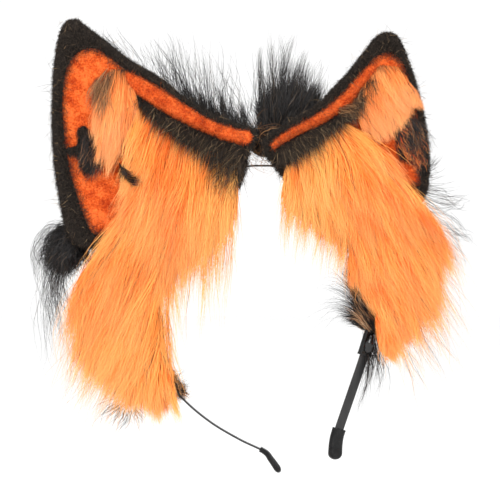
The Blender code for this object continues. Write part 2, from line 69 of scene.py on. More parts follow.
# ------------------------------------------------------------------ the sprung strip
# One strip of spring steel, 5 mm wide, rolled to a head's shape and dipped in black paint.
# Each half is one unbroken piece from the crown's middle down to its tip, and the right leg is
# turned a little so that its flat shows.

BAND_SPAN = 0.110
BAND_HEIGHT = 0.1475
STRIP_WIDTH = 0.0050
STRIP_THICKNESS = 0.0009
CROWN_FLAT = 0.008
TWIST_FROM, TWIST_TO = 0.400, 0.590
LEFT_ROUTE = [
    (0.29, 0.011), (0.56, 0.068), (0.78, 0.176), (0.918, 0.325), (0.973, 0.461),
    (0.942, 0.576), (0.855, 0.668), (0.698, 0.755), (0.455, 0.833), (0.193, 0.8915),
    (-0.020, 0.930), (-0.085, 0.957), (-0.165, 1.0),
]
RIGHT_ROUTE = [
    (0.29, 0.0095), (0.564, 0.064), (0.791, 0.170), (0.927, 0.305), (0.982, 0.420),
    (0.960, 0.525), (0.889, 0.624), (0.782, 0.742), (0.673, 0.861), (0.645, 0.905),
    (0.636, 0.960),
]


def smooth_line(knots, per_span, closed=False):
    """A smooth curve through the knots."""
    knots = np.asarray(knots, float)
    if closed:
        held = np.vstack([knots[-1:], knots, knots[:2]])
    else:
        held = np.vstack([2 * knots[0] - knots[1], knots, 2 * knots[-1] - knots[-2]])
    curve = []
    for a, b, c, d in zip(held, held[1:], held[2:], held[3:]):
        for t in np.linspace(0, 1, per_span, endpoint=False):
            cubic = 3 * b - a - 3 * c + d
            curve.append(0.5 * (2 * b + (c - a) * t + (2 * a - 5 * b + 4 * c - d) * t**2 + cubic * t**3))
    if not closed:
        curve.append(knots[-1])
    return np.array(curve)


class BandSide:
    """One side of the strip's inner face, from the crown's middle down to its tip."""

    def __init__(self, sign, route, twist):
        knots = [(CROWN_FLAT / 2, 0.0)]
        knots += [(BAND_SPAN / 2 * out, -BAND_HEIGHT * down) for out, down in route]
        line = np.vstack([[0.0, 0.0], smooth_line(knots, 24)])
        self.sign, self.twist = sign, twist
        self.x, self.z = line[:, 0] * sign, line[:, 1]
        steps = np.hypot(np.diff(self.x), np.diff(self.z))
        self.run = np.concatenate([[0.0], np.cumsum(steps)])
        self.length = float(self.run[-1])

    def run_at_depth(self, share):
        """The distance along the strip at a share of the band's height."""
        return float(np.interp(share * BAND_HEIGHT, -self.z, self.run))

    def frames(self, runs):
        """Points on the inner face, and the ways along, across and outward, at these distances."""
        runs = np.asarray(runs, float)
        ahead, behind = np.minimum(runs + 0.0005, self.length), np.maximum(runs - 0.0005, 0)
        along = np.stack([
            np.interp(ahead, self.run, self.x) - np.interp(behind, self.run, self.x),
            np.zeros_like(runs),
            np.interp(ahead, self.run, self.z) - np.interp(behind, self.run, self.z),
        ], 1)
        along /= np.linalg.norm(along, axis=1)[:, None]
        outward = np.stack([-along[:, 2], 0 * runs, along[:, 0]], 1) * self.sign
        start, end = self.run_at_depth(TWIST_FROM), self.run_at_depth(TWIST_TO)
        turned = np.clip((runs - start) / (end - start), 0, 1)
        angle = (self.twist * turned**2 * (3 - 2 * turned))[:, None]
        across = np.cos(angle) * np.array([0.0, 1.0, 0.0]) + np.sin(angle) * outward
        outward = np.cross(along, across) * self.sign
        x, z = np.interp(runs, self.run, self.x), np.interp(runs, self.run, self.z)
        return np.stack([x, 0 * x, z], 1), along, across, outward


def rings_round(side, runs, widths, thicknesses, corners=24, squareness=4.0):
    """Rings around the strip's middle: flat-sided with rounded corners."""
    point, _, across, outward = side.frames(runs)
    centre = point + outward * (STRIP_THICKNESS / 2)
    turn = 2 * math.pi * (np.arange(corners) + 0.5) / corners
    reach = (abs(np.cos(turn)) ** squareness + abs(np.sin(turn)) ** squareness) ** (-1 / squareness)
    wide = np.outer(np.broadcast_to(widths, len(point)) / 2, reach * np.cos(turn))
    thick = np.outer(np.broadcast_to(thicknesses, len(point)) / 2, reach * np.sin(turn))
    return centre[:, None] + across[:, None] * wide[..., None] + outward[:, None] * thick[..., None]


def new_piece(name, points, faces, finish):
    """A mesh object with smooth faces, sharp only where they truly fold."""
    mesh = bpy.data.meshes.new(name)
    mesh.from_pydata([tuple(p) for p in points], [], [tuple(f) for f in faces])
    mesh.polygons.foreach_set("use_smooth", np.ones(len(mesh.polygons), bool))
    mesh.set_sharp_from_angle(angle=math.radians(50))
    mesh.materials.append(finish)
    mesh.update()
    piece = bpy.data.objects.new(name, mesh)
    bpy.context.scene.collection.objects.link(piece)
    return piece


def lofted(name, rings, finish, tube=False):
    """Skins rings of equal count, closed at both ends, or joined end to end as a tube wall."""
    rows, corners = rings.shape[:2]
    faces = []
    for row in range(rows if tube else rows - 1):
        here, there = row * corners, (row + 1) % rows * corners
        faces += [
            (here + k, here + (k + 1) % corners, there + (k + 1) % corners, there + k)
            for k in range(corners)
        ]
    if not tube:
        faces += [tuple(range(corners))[::-1], tuple(range((rows - 1) * corners, rows * corners))]
    return new_piece(name, rings.reshape(-1, 3), faces, finish)


def new_finish(name, roughness, specular=0.5):
    """A Principled finish with its plain values set on its own sockets."""
    finish = bpy.data.materials.new(name)
    finish.use_nodes = True
    tree = finish.node_tree
    shader = tree.nodes["Principled BSDF"]
    shader.inputs["Roughness"].default_value = roughness
    shader.inputs["Specular IOR Level"].default_value = specular
    return finish, tree, shader


def drift(tree, scale, detail=3.0, stretch=(1, 1, 1)):
    """A noise in the piece's own space, in waves of about one over scale metres."""
    place = tree.nodes.new("ShaderNodeTexCoord")
    shape = tree.nodes.new("ShaderNodeMapping")
    noise = tree.nodes.new("ShaderNodeTexNoise")
    shape.inputs["Scale"].default_value = stretch
    noise.inputs["Scale"].default_value = scale
    noise.inputs["Detail"].default_value = detail
    tree.links.new(place.outputs["Object"], shape.inputs["Vector"])
    tree.links.new(shape.outputs["Vector"], noise.inputs["Vector"])
    return noise.outputs["Fac"]


def shaded(tree, amount, stops):
    """Turns an amount from 0 to 1 into colours, by stops of (amount, (red, green, blue))."""
    ramp = tree.nodes.new("ShaderNodeValToRGB")
    elements = ramp.color_ramp.elements
    while len(elements) < len(stops):
        elements.new(0.5)
    for element, (at, colour) in zip(elements, stops):
        element.position = at
        element.color = (*colour, 1.0)
    tree.links.new(amount, ramp.inputs["Fac"])
    return ramp.outputs["Color"]


def relief(tree, shader, amount, height, strength=1.0):
    """Raises the surface by an amount, to this height in metres."""
    bump = tree.nodes.new("ShaderNodeBump")
    bump.inputs["Distance"].default_value = height
    bump.inputs["Strength"].default_value = strength
    tree.links.new(amount, bump.inputs["Height"])
    tree.links.new(bump.outputs["Normal"], shader.inputs["Normal"])


paint, tree, shader = new_finish("black_paint_on_steel", roughness=0.38, specular=0.35)
tree.links.new(
    shaded(tree, drift(tree, 260, stretch=(1, 1, 0.25)),
           [(0.30, (0.011, 0.011, 0.012)), (0.62, (0.020, 0.020, 0.020)), (0.75, (0.034, 0.032, 0.030))]),
    shader.inputs["Base Color"],
)
relief(tree, shader, drift(tree, 1500), height=0.00006)

left_side = BandSide(-1, LEFT_ROUTE, 0.0)
right_side = BandSide(1, RIGHT_ROUTE, math.radians(55))
CAP_LENGTH, CAP_GRIP = 0.0152, 0.0075
HINGE_DEPTH = 0.300
for name, side in (("left", left_side), ("right", right_side)):
    strip_end = side.length - CAP_LENGTH + CAP_GRIP
    runs = np.linspace(0.0, strip_end, 150)
    strip = lofted(f"{name}_half_strip", rings_round(side, runs, STRIP_WIDTH, STRIP_THICKNESS, 16, 9), paint)
    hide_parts("band_crown", f"band_{name}_leg")
    hinge_x = float(side.frames([side.run_at_depth(HINGE_DEPTH)])[0][0, 0])
    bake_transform(strip)

# ------------------------------------------------------------------ the tips
# A soft black plastic tip is pushed onto each end of the strip. It is thin at its mouth, where
# a small lip shows, and swells a little to its round end.

FIT_GAP = 0.0003
CORNER_ROOM = 2**0.25
BORE_WIDTH = STRIP_WIDTH * CORNER_ROOM + 2 * FIT_GAP
BORE_THICKNESS = STRIP_THICKNESS * CORNER_ROOM + 2 * FIT_GAP

tip_plastic, tree, shader = new_finish("soft_black_plastic", roughness=0.22, specular=0.20)
tree.links.new(
    shaded(tree, drift(tree, 420), [(0.35, (0.003, 0.003, 0.003)), (0.70, (0.010, 0.010, 0.010))]),
    shader.inputs["Base Color"],
)
relief(tree, shader, drift(tree, 1900, 2.0), height=0.00005)

for name, side in (("left", left_side), ("right", right_side)):
    mouth = side.length - CAP_LENGTH
    bore = rings_round(
        side, np.linspace(mouth + CAP_GRIP + FIT_GAP, mouth, 6), BORE_WIDTH, BORE_THICKNESS, 32,
    )
    share = np.concatenate(
        [[0.0, 0.012, 0.03, 0.055, 0.075], np.linspace(0.10, 0.82, 16), np.linspace(0.84, 1, 14)],
    )
    lip = 0.00022 * np.exp(-(((share - 0.035) / 0.022) ** 2))
    thick = BORE_THICKNESS + 2 * (0.0004 + 0.0006 * share) + lip
    wide = BORE_WIDTH + 0.0008 + lip
    rounding = np.sqrt(np.maximum(1 - np.maximum((share - 0.80) / 0.203, 0) ** 2, 0.02))
    outside = rings_round(side, mouth + CAP_LENGTH * share, wide * rounding, thick * rounding, 32)
    tip = lofted(f"{name}_tip", np.vstack([bore, outside]), tip_plastic)
    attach(tip, f"{name}_leg")
    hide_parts(f"{name}_end_cap")

# ------------------------------------------------------------------ the sleeves
# A short length of black tubing is shrunk over each leg and over the ends of the fur. It pulls
# in over the strip's edges, so its flats are slightly hollow and its ends slightly flared.

LEFT_SLEEVE = (left_side.run_at_depth(0.655), 0.012)
RIGHT_SLEEVE = (right_side.run_at_depth(0.500), 0.018)
SLEEVE_WALL = 0.0005

shrink_tube, tree, shader = new_finish("shrunk_black_tubing", roughness=0.18, specular=0.28)
tree.links.new(
    shaded(
        tree, drift(tree, 350, stretch=(1, 1, 0.3)),
        [(0.3, (0.003, 0.003, 0.003)), (0.7, (0.009, 0.009, 0.009))]
    ), shader.inputs["Base Color"],
)
relief(tree, shader, drift(tree, 700, 4.0, (1, 1, 2.2)), height=0.00012)

for name, side, (start, length) in (("left", left_side, LEFT_SLEEVE), ("right", right_side, RIGHT_SLEEVE)):
    share = np.linspace(0, 1, 30)
    flare = 0.00025 * (np.exp(-share / 0.05) + np.exp(-(1 - share) / 0.05))
    pucker = 0.00008 * np.sin(share * 41) + 0.00006 * np.sin(share * 67 + 1)
    runs = start + length * share
    inner = rings_round(side, runs, BORE_WIDTH, BORE_THICKNESS, 32)
    wide = BORE_WIDTH + 2 * SLEEVE_WALL + flare
    outer = rings_round(side, runs, wide, BORE_THICKNESS + 2 * SLEEVE_WALL + flare + pucker, 32)
    sleeve = lofted(f"{name}_shrunk_sleeve", np.vstack([inner, outer[::-1]]), shrink_tube, tube=True)
    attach(sleeve, f"{name}_leg")
    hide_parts(f"{name}_sleeve")

# ------------------------------------------------------------------ the glue
# A drop of black hot glue sits on each sleeve and holds the fur's end to it. It set in lumps
# and is very glossy.

BEAD_LENGTH, BEAD_WIDTH, BEAD_HEIGHT, BEAD_FROM_END = 0.010, 0.0052, 0.0022, 0.0115

glue, tree, shader = new_finish("set_black_glue", roughness=0.06, specular=0.5)
tree.links.new(
    shaded(tree, drift(tree, 500), [(0.3, (0.003, 0.003, 0.003)), (0.7, (0.008, 0.007, 0.007))]),
    shader.inputs["Base Color"],
)
relief(tree, shader, drift(tree, 300, 1.0), height=0.00030)

for name, side, (start, length) in (("left", left_side, LEFT_SLEEVE), ("right", right_side, RIGHT_SLEEVE)):
    share = (1 - np.cos(np.linspace(0, math.pi, 26))) / 2
    point, _, across, outward = side.frames(start + length - BEAD_FROM_END + BEAD_LENGTH * share)
    foot = point + outward * (STRIP_THICKNESS / 2 + BORE_THICKNESS / 2 + SLEEVE_WALL + FIT_GAP)
    swell = np.sqrt(np.maximum(1 - (2 * share - 1) ** 2, 0.02)) * (1 + 0.10 * np.sin(share * 15))
    turn = np.linspace(0, math.pi, 22)
    lump = 1 + 0.09 * np.sin(3 * turn + 5 * share[:, None])
    wide = swell[:, None] * lump * np.cos(turn) * BEAD_WIDTH / 2
    high = swell[:, None] * lump * np.sin(turn) * BEAD_HEIGHT
    rings = foot[:, None] + across[:, None] * wide[..., None] + outward[:, None] * high[..., None]
    drop = lofted(f"{name}_glue_drop", rings, glue)
    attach(drop, f"{name}_leg")
    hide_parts(f"{name}_glue_bead")

# ------------------------------------------------------------------ the plush wraps
# A strip of black plush is sewn round the strip under each ear, and the ear is glued to it.
# Its short pile stands out all round.

WRAP_WALL = 0.0015
WRAP_FROM = 0.00925
FIBRE_TONES, FIBRE_ROOTS = 16, 4


def ribbons(name, paths, widths, facing, tones, roots, finish):
    """Fibres as narrow tapered ribbons along their paths, which is (fibre, point, xyz).

    Tones and roots are whole steps. Each pair of them has its own strip in the OFBake layout,
    with the fibre's length up it, so a fibre's colour depends on nothing else.
    """
    count, points = paths.shape[:2]
    ahead = np.gradient(paths, axis=1)
    sideways = np.cross(ahead, facing[:, None])
    sideways /= np.maximum(np.linalg.norm(sideways, axis=2), 1e-9)[..., None]
    along = np.linspace(0, 1, points)
    taper = np.interp(along, [0, 0.25, 0.6, 1.0], [0.75, 1.0, 0.85, 0.12])
    half = sideways * (widths[:, None] * taper / 2)[..., None]
    corners = np.stack([paths - half, paths + half], 2).reshape(-1, 3)
    first = (np.arange(count)[:, None] * points + np.arange(points - 1)) * 2
    quads = np.stack([first, first + 1, first + 3, first + 2], 2).reshape(-1)
    mesh = bpy.data.meshes.new(name)
    mesh.vertices.add(len(corners))
    mesh.vertices.foreach_set("co", corners.astype(np.float32).ravel())
    mesh.loops.add(len(quads))
    mesh.loops.foreach_set("vertex_index", quads.astype(np.int32))
    mesh.polygons.add(len(quads) // 4)
    mesh.polygons.foreach_set("loop_start", np.arange(0, len(quads), 4, dtype=np.int32))
    mesh.update(calc_edges=True)
    mesh.polygons.foreach_set("use_smooth", np.ones(len(mesh.polygons), bool))
    column = tones * FIBRE_ROOTS + roots
    of_point = {
        "tone": tones / (FIBRE_TONES - 1),
        "root_depth": roots / (FIBRE_ROOTS - 1),
    }
    for key, values in of_point.items():
        held = mesh.attributes.new(key, "FLOAT", "POINT")
        held.data.foreach_set("value", np.repeat(values, points * 2).astype(np.float32))
    held = mesh.attributes.new("along", "FLOAT", "POINT")
    held.data.foreach_set("value", np.tile(np.repeat(along, 2), count).astype(np.float32))
    side = np.tile(np.tile([-0.4, 0.4], points), count)
    u = (np.repeat(column, points * 2) + 0.5 + side) / (FIBRE_TONES * FIBRE_ROOTS)
    v = np.tile(np.repeat(0.01 + 0.98 * along, 2), count)
    layout = mesh.uv_layers.new(name="OFBake")
    layout.data.foreach_set("uv", np.stack([u, v], 1)[quads].astype(np.float32).ravel())
    mesh.materials.append(finish)
    piece = bpy.data.objects.new(name, mesh)
    bpy.context.scene.collection.objects.link(piece)
    return piece


def fibre_finish(name, tones, tip, tip_from, root, roughness, tip_share=0.6):
    """A fibre's colour: its own tone, turning to the tip's colour, and to the root's near its root."""
    finish, tree, shader = new_finish(name, roughness, 0.25)

    def carried(key):
        node = tree.nodes.new("ShaderNodeAttribute")
        node.attribute_name = key
        return node.outputs["Fac"]

    def mixed(amount, first, second):
        mix = tree.nodes.new("ShaderNodeMix")
        mix.data_type = "RGBA"
        tree.links.new(amount, mix.inputs["Factor"])
        tree.links.new(first, mix.inputs["A"])
        if isinstance(second, tuple):
            mix.inputs["B"].default_value = (*second, 1.0)
        else:
            tree.links.new(second, mix.inputs["B"])
        return mix.outputs["Result"]

    def times(first, second):
        product = tree.nodes.new("ShaderNodeMath")
        product.operation = "MULTIPLY"
        tree.links.new(first, product.inputs[0])
        tree.links.new(second, product.inputs[1])
        return product.outputs["Value"]

    own = shaded(tree, carried("tone"), tones)
    share = (tip_share,) * 3
    to_tip = shaded(tree, carried("along"), [(tip_from, (0, 0, 0)), (1.0, share)])
    near_root = shaded(tree, carried("along"), [(0.03, (1, 1, 1)), (0.30, (0, 0, 0))])
    with_tip = mixed(to_tip, own, tip)
    with_root = mixed(times(near_root, carried("root_depth")), with_tip, root)
    tree.links.new(with_root, shader.inputs["Base Color"])
    return finish


def scattered(points, triangles, count, rng, weight=None):
    """Spots spread over a surface, with the way that it faces at each."""
    a, b, c = (points[triangles[:, k]] for k in range(3))
    normal = np.cross(b - a, c - a)
    size = np.linalg.norm(normal, axis=1)
    share = size.copy()
    if weight is not None:
        share *= weight((a + b + c) / 3, normal / np.maximum(size, 1e-15)[:, None])
    pick = rng.choice(len(triangles), count, p=share / share.sum())
    u, v = rng.random((2, count, 1))
    u, v = np.where(u + v > 1, 1 - u, u), np.where(u + v > 1, 1 - v, v)
    spots = a[pick] + u * (b - a)[pick] + v * (c - a)[pick]
    return spots, normal[pick] / size[pick][:, None]


def short_pile(name, spots, ways, lay, length, width, rng, finish, scatter=0.35, tones=(0, 14)):
    """The short fibres of a cloth: out from it, then over the way the pile lies."""
    count = len(spots)
    if len(tones) == 2:
        tones = rng.integers(*tones, count)
    lean = np.asarray(lay, float) + rng.normal(0, scatter, (count, 3))
    reach = length * rng.uniform(0.55, 1.15, count)[:, None]
    middle = spots + (ways * 0.62 + lean * 0.28) * reach * 0.6
    end = spots + (ways * 0.70 + lean * 0.75) * reach
    paths = np.stack([spots, middle, end], 1)
    facing = rng.normal(0, 1, (count, 3))
    return ribbons(
        name, paths, width * rng.uniform(0.7, 1.2, count), facing,
        tones, rng.integers(0, FIBRE_ROOTS, count), finish,
    )


def triangles_of(piece):
    """A piece's points and triangles as arrays."""
    mesh = piece.data
    mesh.calc_loop_triangles()
    points = np.empty(len(mesh.vertices) * 3)
    faces = np.empty(len(mesh.loop_triangles) * 3, np.int32)
    mesh.vertices.foreach_get("co", points)
    mesh.loop_triangles.foreach_get("vertices", faces)
    return points.reshape(-1, 3), faces.reshape(-1, 3)


plush_cloth, tree, shader = new_finish("black_plush_cloth", roughness=0.92, specular=0.15)
tree.links.new(
    shaded(tree, drift(tree, 900, 5.0), [(0.30, (0.008, 0.006, 0.005)), (0.62, (0.026, 0.020, 0.016)),
                                         (0.80, (0.055, 0.042, 0.032))]),
    shader.inputs["Base Color"],
)
relief(tree, shader, drift(tree, 1300, 5.0), height=0.0006)
BLACK_TONES = [(0.0, (0.006, 0.005, 0.004)), (0.45, (0.016, 0.012, 0.010)), (0.78, (0.040, 0.029, 0.022)),
               (0.90, (0.12, 0.080, 0.050)), (1.0, (0.42, 0.28, 0.15))]
# The pile's lighter brown tip colour is painted sheen: the velvet's shine along the plush, put into its
# colour.
plush_pile = fibre_finish(
    "black_plush_pile", BLACK_TONES, tip=(0.060, 0.044, 0.032), tip_from=0.4, root=(0.005, 0.004, 0.004),
    roughness=0.8,
)

rng = np.random.default_rng(11)
for name, side in (("left", left_side), ("right", right_side)):
    runs = np.linspace(WRAP_FROM, side.run_at_depth(HINGE_DEPTH) - 0.00025, 44)
    inner = rings_round(side, runs, BORE_WIDTH, BORE_THICKNESS, 20)
    outer = rings_round(side, runs, BORE_WIDTH + 2 * WRAP_WALL, BORE_THICKNESS + 2 * WRAP_WALL, 20)
    wrap = lofted(f"{name}_plush_wrap", np.vstack([inner, outer[::-1]]), plush_cloth, tube=True)
    points, faces = triangles_of(wrap)
    middle = np.stack([np.interp(runs, side.run, side.x), 0 * runs, np.interp(runs, side.run, side.z)], 1)
    spots, ways = scattered(
        points[len(runs) * 20:], faces[(faces >= len(runs) * 20).all(1)] - len(runs) * 20, 5000, rng,
    )
    nearest = middle[np.argmin(np.linalg.norm(spots[:, None] - middle, axis=2), axis=1)]
    out = spots - nearest
    ways = out / np.linalg.norm(out, axis=1)[:, None]
    pile = short_pile(
        f"{name}_plush_wrap_pile", spots, ways, (0, 0, -0.3), length=0.0022, width=0.00022, rng=rng,
        finish=plush_pile,
    )
    for piece in (wrap, pile):
        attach(piece, "headpiece")
    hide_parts(f"{name}_base_wrap")

# ------------------------------------------------------------------ the ear shells
# Each ear is a pocket of black short-pile plush, turned over to the front as a rim and puffed
# a little along its edge. It is cupped: its edges come forward of its middle.

EAR_CUP = 0.012
BACK_OF_SHELLS = -(BORE_WIDTH / 2 + WRAP_WALL + FIT_GAP)
SHELL_FLOOR, CORE_THICKNESS, LINING_THICKNESS = 0.0018, 0.0020, 0.0012
LINING_FRONT = BACK_OF_SHELLS - SHELL_FLOOR - FIT_GAP - CORE_THICKNESS - FIT_GAP - LINING_THICKNESS
LEFT_SHELL = [
    (0.950, 0.953), (0.917, 0.997), (0.874, 0.997), (0.836, 0.953), (0.741, 0.851),
    (0.627, 0.724), (0.494, 0.609), (0.366, 0.463), (0.257, 0.361), (0.143, 0.286),
    (0.050, 0.252), (0.030, 0.191), (0.057, 0.095), (0.076, 0.000), (0.109, -0.136),
    (0.190, -0.266), (0.390, -0.422), (0.627, -0.540), (0.794, -0.560), (0.884, -0.520),
    (0.931, -0.420), (0.967, -0.163), (0.987, 0.041), (0.997, 0.313), (0.991, 0.654),
    (0.974, 0.831),
]
RIGHT_SHELL = [
    (0.732, 1.000), (0.783, 1.000), (0.831, 0.934), (0.882, 0.772), (0.912, 0.667),
    (0.936, 0.547), (0.960, 0.420), (0.978, 0.292), (0.993, 0.120), (0.996, -0.045),
    (0.972, -0.225), (0.876, -0.300), (0.648, -0.277), (0.408, -0.225), (0.180, -0.142),
    (0.072, 0.000), (0.022, 0.075), (0.006, 0.172), (0.060, 0.240), (0.228, 0.367),
    (0.348, 0.472), (0.408, 0.562), (0.492, 0.667), (0.546, 0.750), (0.600, 0.833),
    (0.648, 0.915), (0.690, 0.975),
]
LEFT_LINING = [
    (0.836, 0.797), (0.770, 0.783), (0.646, 0.654), (0.494, 0.545), (0.276, 0.335),
    (0.133, 0.240), (0.080, 0.215), (0.085, 0.150), (0.114, 0.007), (0.171, -0.123),
    (0.390, -0.327), (0.627, -0.450), (0.779, -0.470), (0.827, -0.400), (0.893, -0.123),
    (0.929, 0.109), (0.948, 0.402), (0.936, 0.620), (0.893, 0.749),
]
RIGHT_LINING = [
    (0.690, 0.833), (0.774, 0.847), (0.846, 0.765), (0.888, 0.607), (0.924, 0.420),
    (0.942, 0.195), (0.942, -0.045), (0.924, -0.160), (0.648, -0.190), (0.408, -0.138),
    (0.216, -0.055), (0.132, 0.030), (0.075, 0.100), (0.048, 0.160), (0.138, 0.255),
    (0.348, 0.405), (0.462, 0.515), (0.546, 0.632), (0.636, 0.762),
]


class Ear:
    """The gentle trough that every layer of one ear follows: edges forward, middle back."""

    def __init__(self, name, sign, reach, rise, foot, tip, half_width):
        self.name, self.scale = name, np.array([sign * reach, rise])
        self.foot = np.array(foot) * self.scale
        lengthwise = np.array(tip) * self.scale - self.foot
        lengthwise /= np.linalg.norm(lengthwise)
        self.crosswise = np.array([lengthwise[1], -lengthwise[0]])
        self.half_width = reach * half_width

    def outline(self, shares, per_span=6):
        """A smooth outline in metres through shares of the ear's reach and rise."""
        return smooth_line(np.array(shares) * self.scale, per_span, closed=True)

    def forward(self, places):
        """How far the ear comes forward at these (x, z) places."""
        return EAR_CUP * (((places - self.foot) @ self.crosswise) / self.half_width) ** 2


def evenly(outline, step):
    """The same closed outline with points a step apart."""
    closed = np.vstack([outline, outline[:1]])
    run = np.concatenate([[0], np.cumsum(np.linalg.norm(np.diff(closed, axis=0), axis=1))])
    at = np.linspace(0, run[-1], max(int(run[-1] / step), 8), endpoint=False)
    return np.stack([np.interp(at, run, closed[:, k]) for k in range(2)], 1)


def area_of(outline):
    """The outline's area, above 0 where it runs anticlockwise."""
    after = np.roll(outline, -1, 0)
    return float((outline[:, 0] * after[:, 1] - after[:, 0] * outline[:, 1]).sum() / 2)


def moved_in(outline, distance):
    """The outline moved inward by a distance."""
    ahead = np.roll(outline, -1, 0) - np.roll(outline, 1, 0)
    inward = np.stack([-ahead[:, 1], ahead[:, 0]], 1)
    inward /= np.linalg.norm(inward, axis=1)[:, None]
    return outline + inward * distance * math.copysign(1, area_of(outline))


def inside(places, outline):
    """Which places lie inside the outline."""
    x, z = places[:, 0, None], places[:, 1, None]
    (ax, az), (bx, bz) = outline.T, np.roll(outline, -1, 0).T
    rise = np.where(bz == az, 1e-12, bz - az)
    return (((az > z) != (bz > z)) & (x < ax + (z - az) * (bx - ax) / rise)).sum(1) % 2 == 1


def from_edge(places, outline):
    """How far each place is from the outline."""
    ahead = np.roll(outline, -1, 0) - outline
    away = places[:, None] - outline
    share = np.clip((away * ahead).sum(2) / (ahead * ahead).sum(1), 0, 1)
    return np.linalg.norm(away - ahead * share[..., None], axis=2).min(1)


def cut_cloth(outline, step, rows=(), loops=()):
    """Places and triangles that fill an outline: finer rows inside its edge, and given loops kept."""
    lines = [outline] + [moved_in(outline, row) for row in rows] + list(loops)
    low, high = outline.min(0), outline.max(0)
    across = np.arange(low[0], high[0], step)
    up = np.arange(low[1], high[1], step * 0.87)
    grid = np.array([(x + step / 2 * (k % 2), z) for k, z in enumerate(up) for x in across])
    grid = grid[inside(grid, outline)]
    for line in lines:
        grid = grid[from_edge(grid, line) > step * 0.5]
    places = np.vstack(lines + [grid])
    edges, start = [], len(outline)
    for line in lines[1:]:
        if any(line is loop for loop in loops):
            edges += [(start + k, start + (k + 1) % len(line)) for k in range(len(line))]
        start += len(line)
    found = delaunay_2d_cdt([Vector(p) for p in places], edges, [list(range(len(outline)))], 1, 1e-7)
    return np.array([tuple(p) for p in found[0]]), np.array(found[2], int)


def layer(name, ear, outline, back, front, rounding, seam, step, finish, rows=(), loops=(), sunk=None):
    """One cloth layer of an ear as a closed piece with a rounded edge.

    Seam is where its edge sits, from 0 at the back to 1 at the front, and sunk moves its front.
    """
    places, triangles = cut_cloth(outline, step, rows, loops)
    depth = from_edge(places, outline)
    profile = np.sqrt(1 - (1 - np.clip(depth / rounding, 0, 1)) ** 2)
    edge = back + (front - back) * seam
    face = edge + (front - edge) * profile
    if sunk is not None:
        face = sunk(places, face)
    rear = edge + (back - edge) * profile
    bend = ear.forward(places)
    rim = depth < 1e-6
    count = len(places)
    fore = np.stack([places[:, 0], face - bend, places[:, 1]], 1)
    aft = np.stack([places[:, 0], rear - bend, places[:, 1]], 1)
    after = np.cumsum(~rim) - 1 + count
    turned = np.where(rim, np.arange(count), after)
    a, b, c = (places[triangles[:, k]] for k in range(3))
    wrong = (b - a)[:, 0] * (c - a)[:, 1] - (b - a)[:, 1] * (c - a)[:, 0] < 0
    triangles[wrong] = triangles[wrong][:, ::-1]
    piece = new_piece(
        name, np.vstack([fore, aft[~rim]]), np.vstack([triangles, turned[triangles][:, ::-1]]), finish,
    )
    piece.data.set_sharp_from_angle(angle=math.radians(80))
    return piece


left_ear = Ear(
    "left", sign=-1, reach=0.101, rise=0.0705, foot=(0.485, -0.330), tip=(0.900, 1.0), half_width=0.50,
)
right_ear = Ear(
    "right", sign=1, reach=0.080, rise=0.064, foot=(0.525, -0.180), tip=(0.757, 1.0), half_width=0.52,
)
rng = np.random.default_rng(21)
for ear, shell_cut, lining_cut in (
    (left_ear, LEFT_SHELL, LEFT_LINING), (right_ear, RIGHT_SHELL, RIGHT_LINING),
):
    outline = evenly(ear.outline(shell_cut), 0.0012)
    opening = evenly(moved_in(ear.outline(lining_cut), -0.0006), 0.0013)
    well = moved_in(opening, 0.0004)

    def with_pocket(places, face, ear=ear, opening=opening, well=well):
        in_well = inside(places, moved_in(well, -0.0001))
        near = np.clip(from_edge(places, opening) / 0.0018, 0, 1)
        lowered = face + 0.0009 * (1 - np.sqrt(1 - (1 - near) ** 2))
        return np.where(in_well, BACK_OF_SHELLS - SHELL_FLOOR, lowered)

    shell = layer(
        f"{ear.name}_plush_shell", ear, outline, BACK_OF_SHELLS, LINING_FRONT, rounding=0.0026, seam=0.5,
        step=0.0022, finish=plush_cloth, rows=(0.00025, 0.0008, 0.0016), loops=(opening, well),
        sunk=with_pocket,
    )
    points, faces = triangles_of(shell)
    spots, ways = scattered(
        points, faces, 24000, rng,
        lambda at, way, opening=opening: np.where(
            inside(at[:, [0, 2]], opening) & (way[:, 1] < 0), 0.0, np.where(way[:, 1] < 0.3, 4.0, 1.0)),
    )
    pile = short_pile(
        f"{ear.name}_plush_shell_pile", spots, ways, (0, 0, -0.35), length=0.0015, width=0.00020, rng=rng,
        finish=plush_pile,
    )
    loose = short_pile(
        f"{ear.name}_plush_shell_loose_hairs", spots[:1000] + ways[:1000] * 0.0012, ways[:1000] * 0.3,
        (0, 0, -0.2), length=0.0045, width=0.00014, rng=rng, finish=plush_pile, scatter=1.0, tones=(10, 16),
    )
    brink = moved_in(opening, 0.0007)[rng.integers(0, len(opening), 6000)] + rng.normal(0, 0.0009, (6000, 2))
    brink_depth = LINING_FRONT - 0.0008 - ear.forward(brink)
    fuzz = short_pile(
        f"{ear.name}_plush_brink_pile", np.stack([brink[:, 0], brink_depth, brink[:, 1]], 1),
        rng.normal(0, 0.7, (6000, 3)) * (1, 0.3, 1) - (0, 0.35, 0), (0, 0, 0), length=0.0032, width=0.00014,
        rng=rng, finish=plush_pile, scatter=0.8,
    )
    for piece in (shell, pile, loose, fuzz):
        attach(piece, "headpiece")
    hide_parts(f"{ear.name}_ear_shell")

# ------------------------------------------------------------------ the foam cores
# A sheet of pale foam inside each shell keeps the ear up. It is covered by the lining in front
# and by the shell behind.

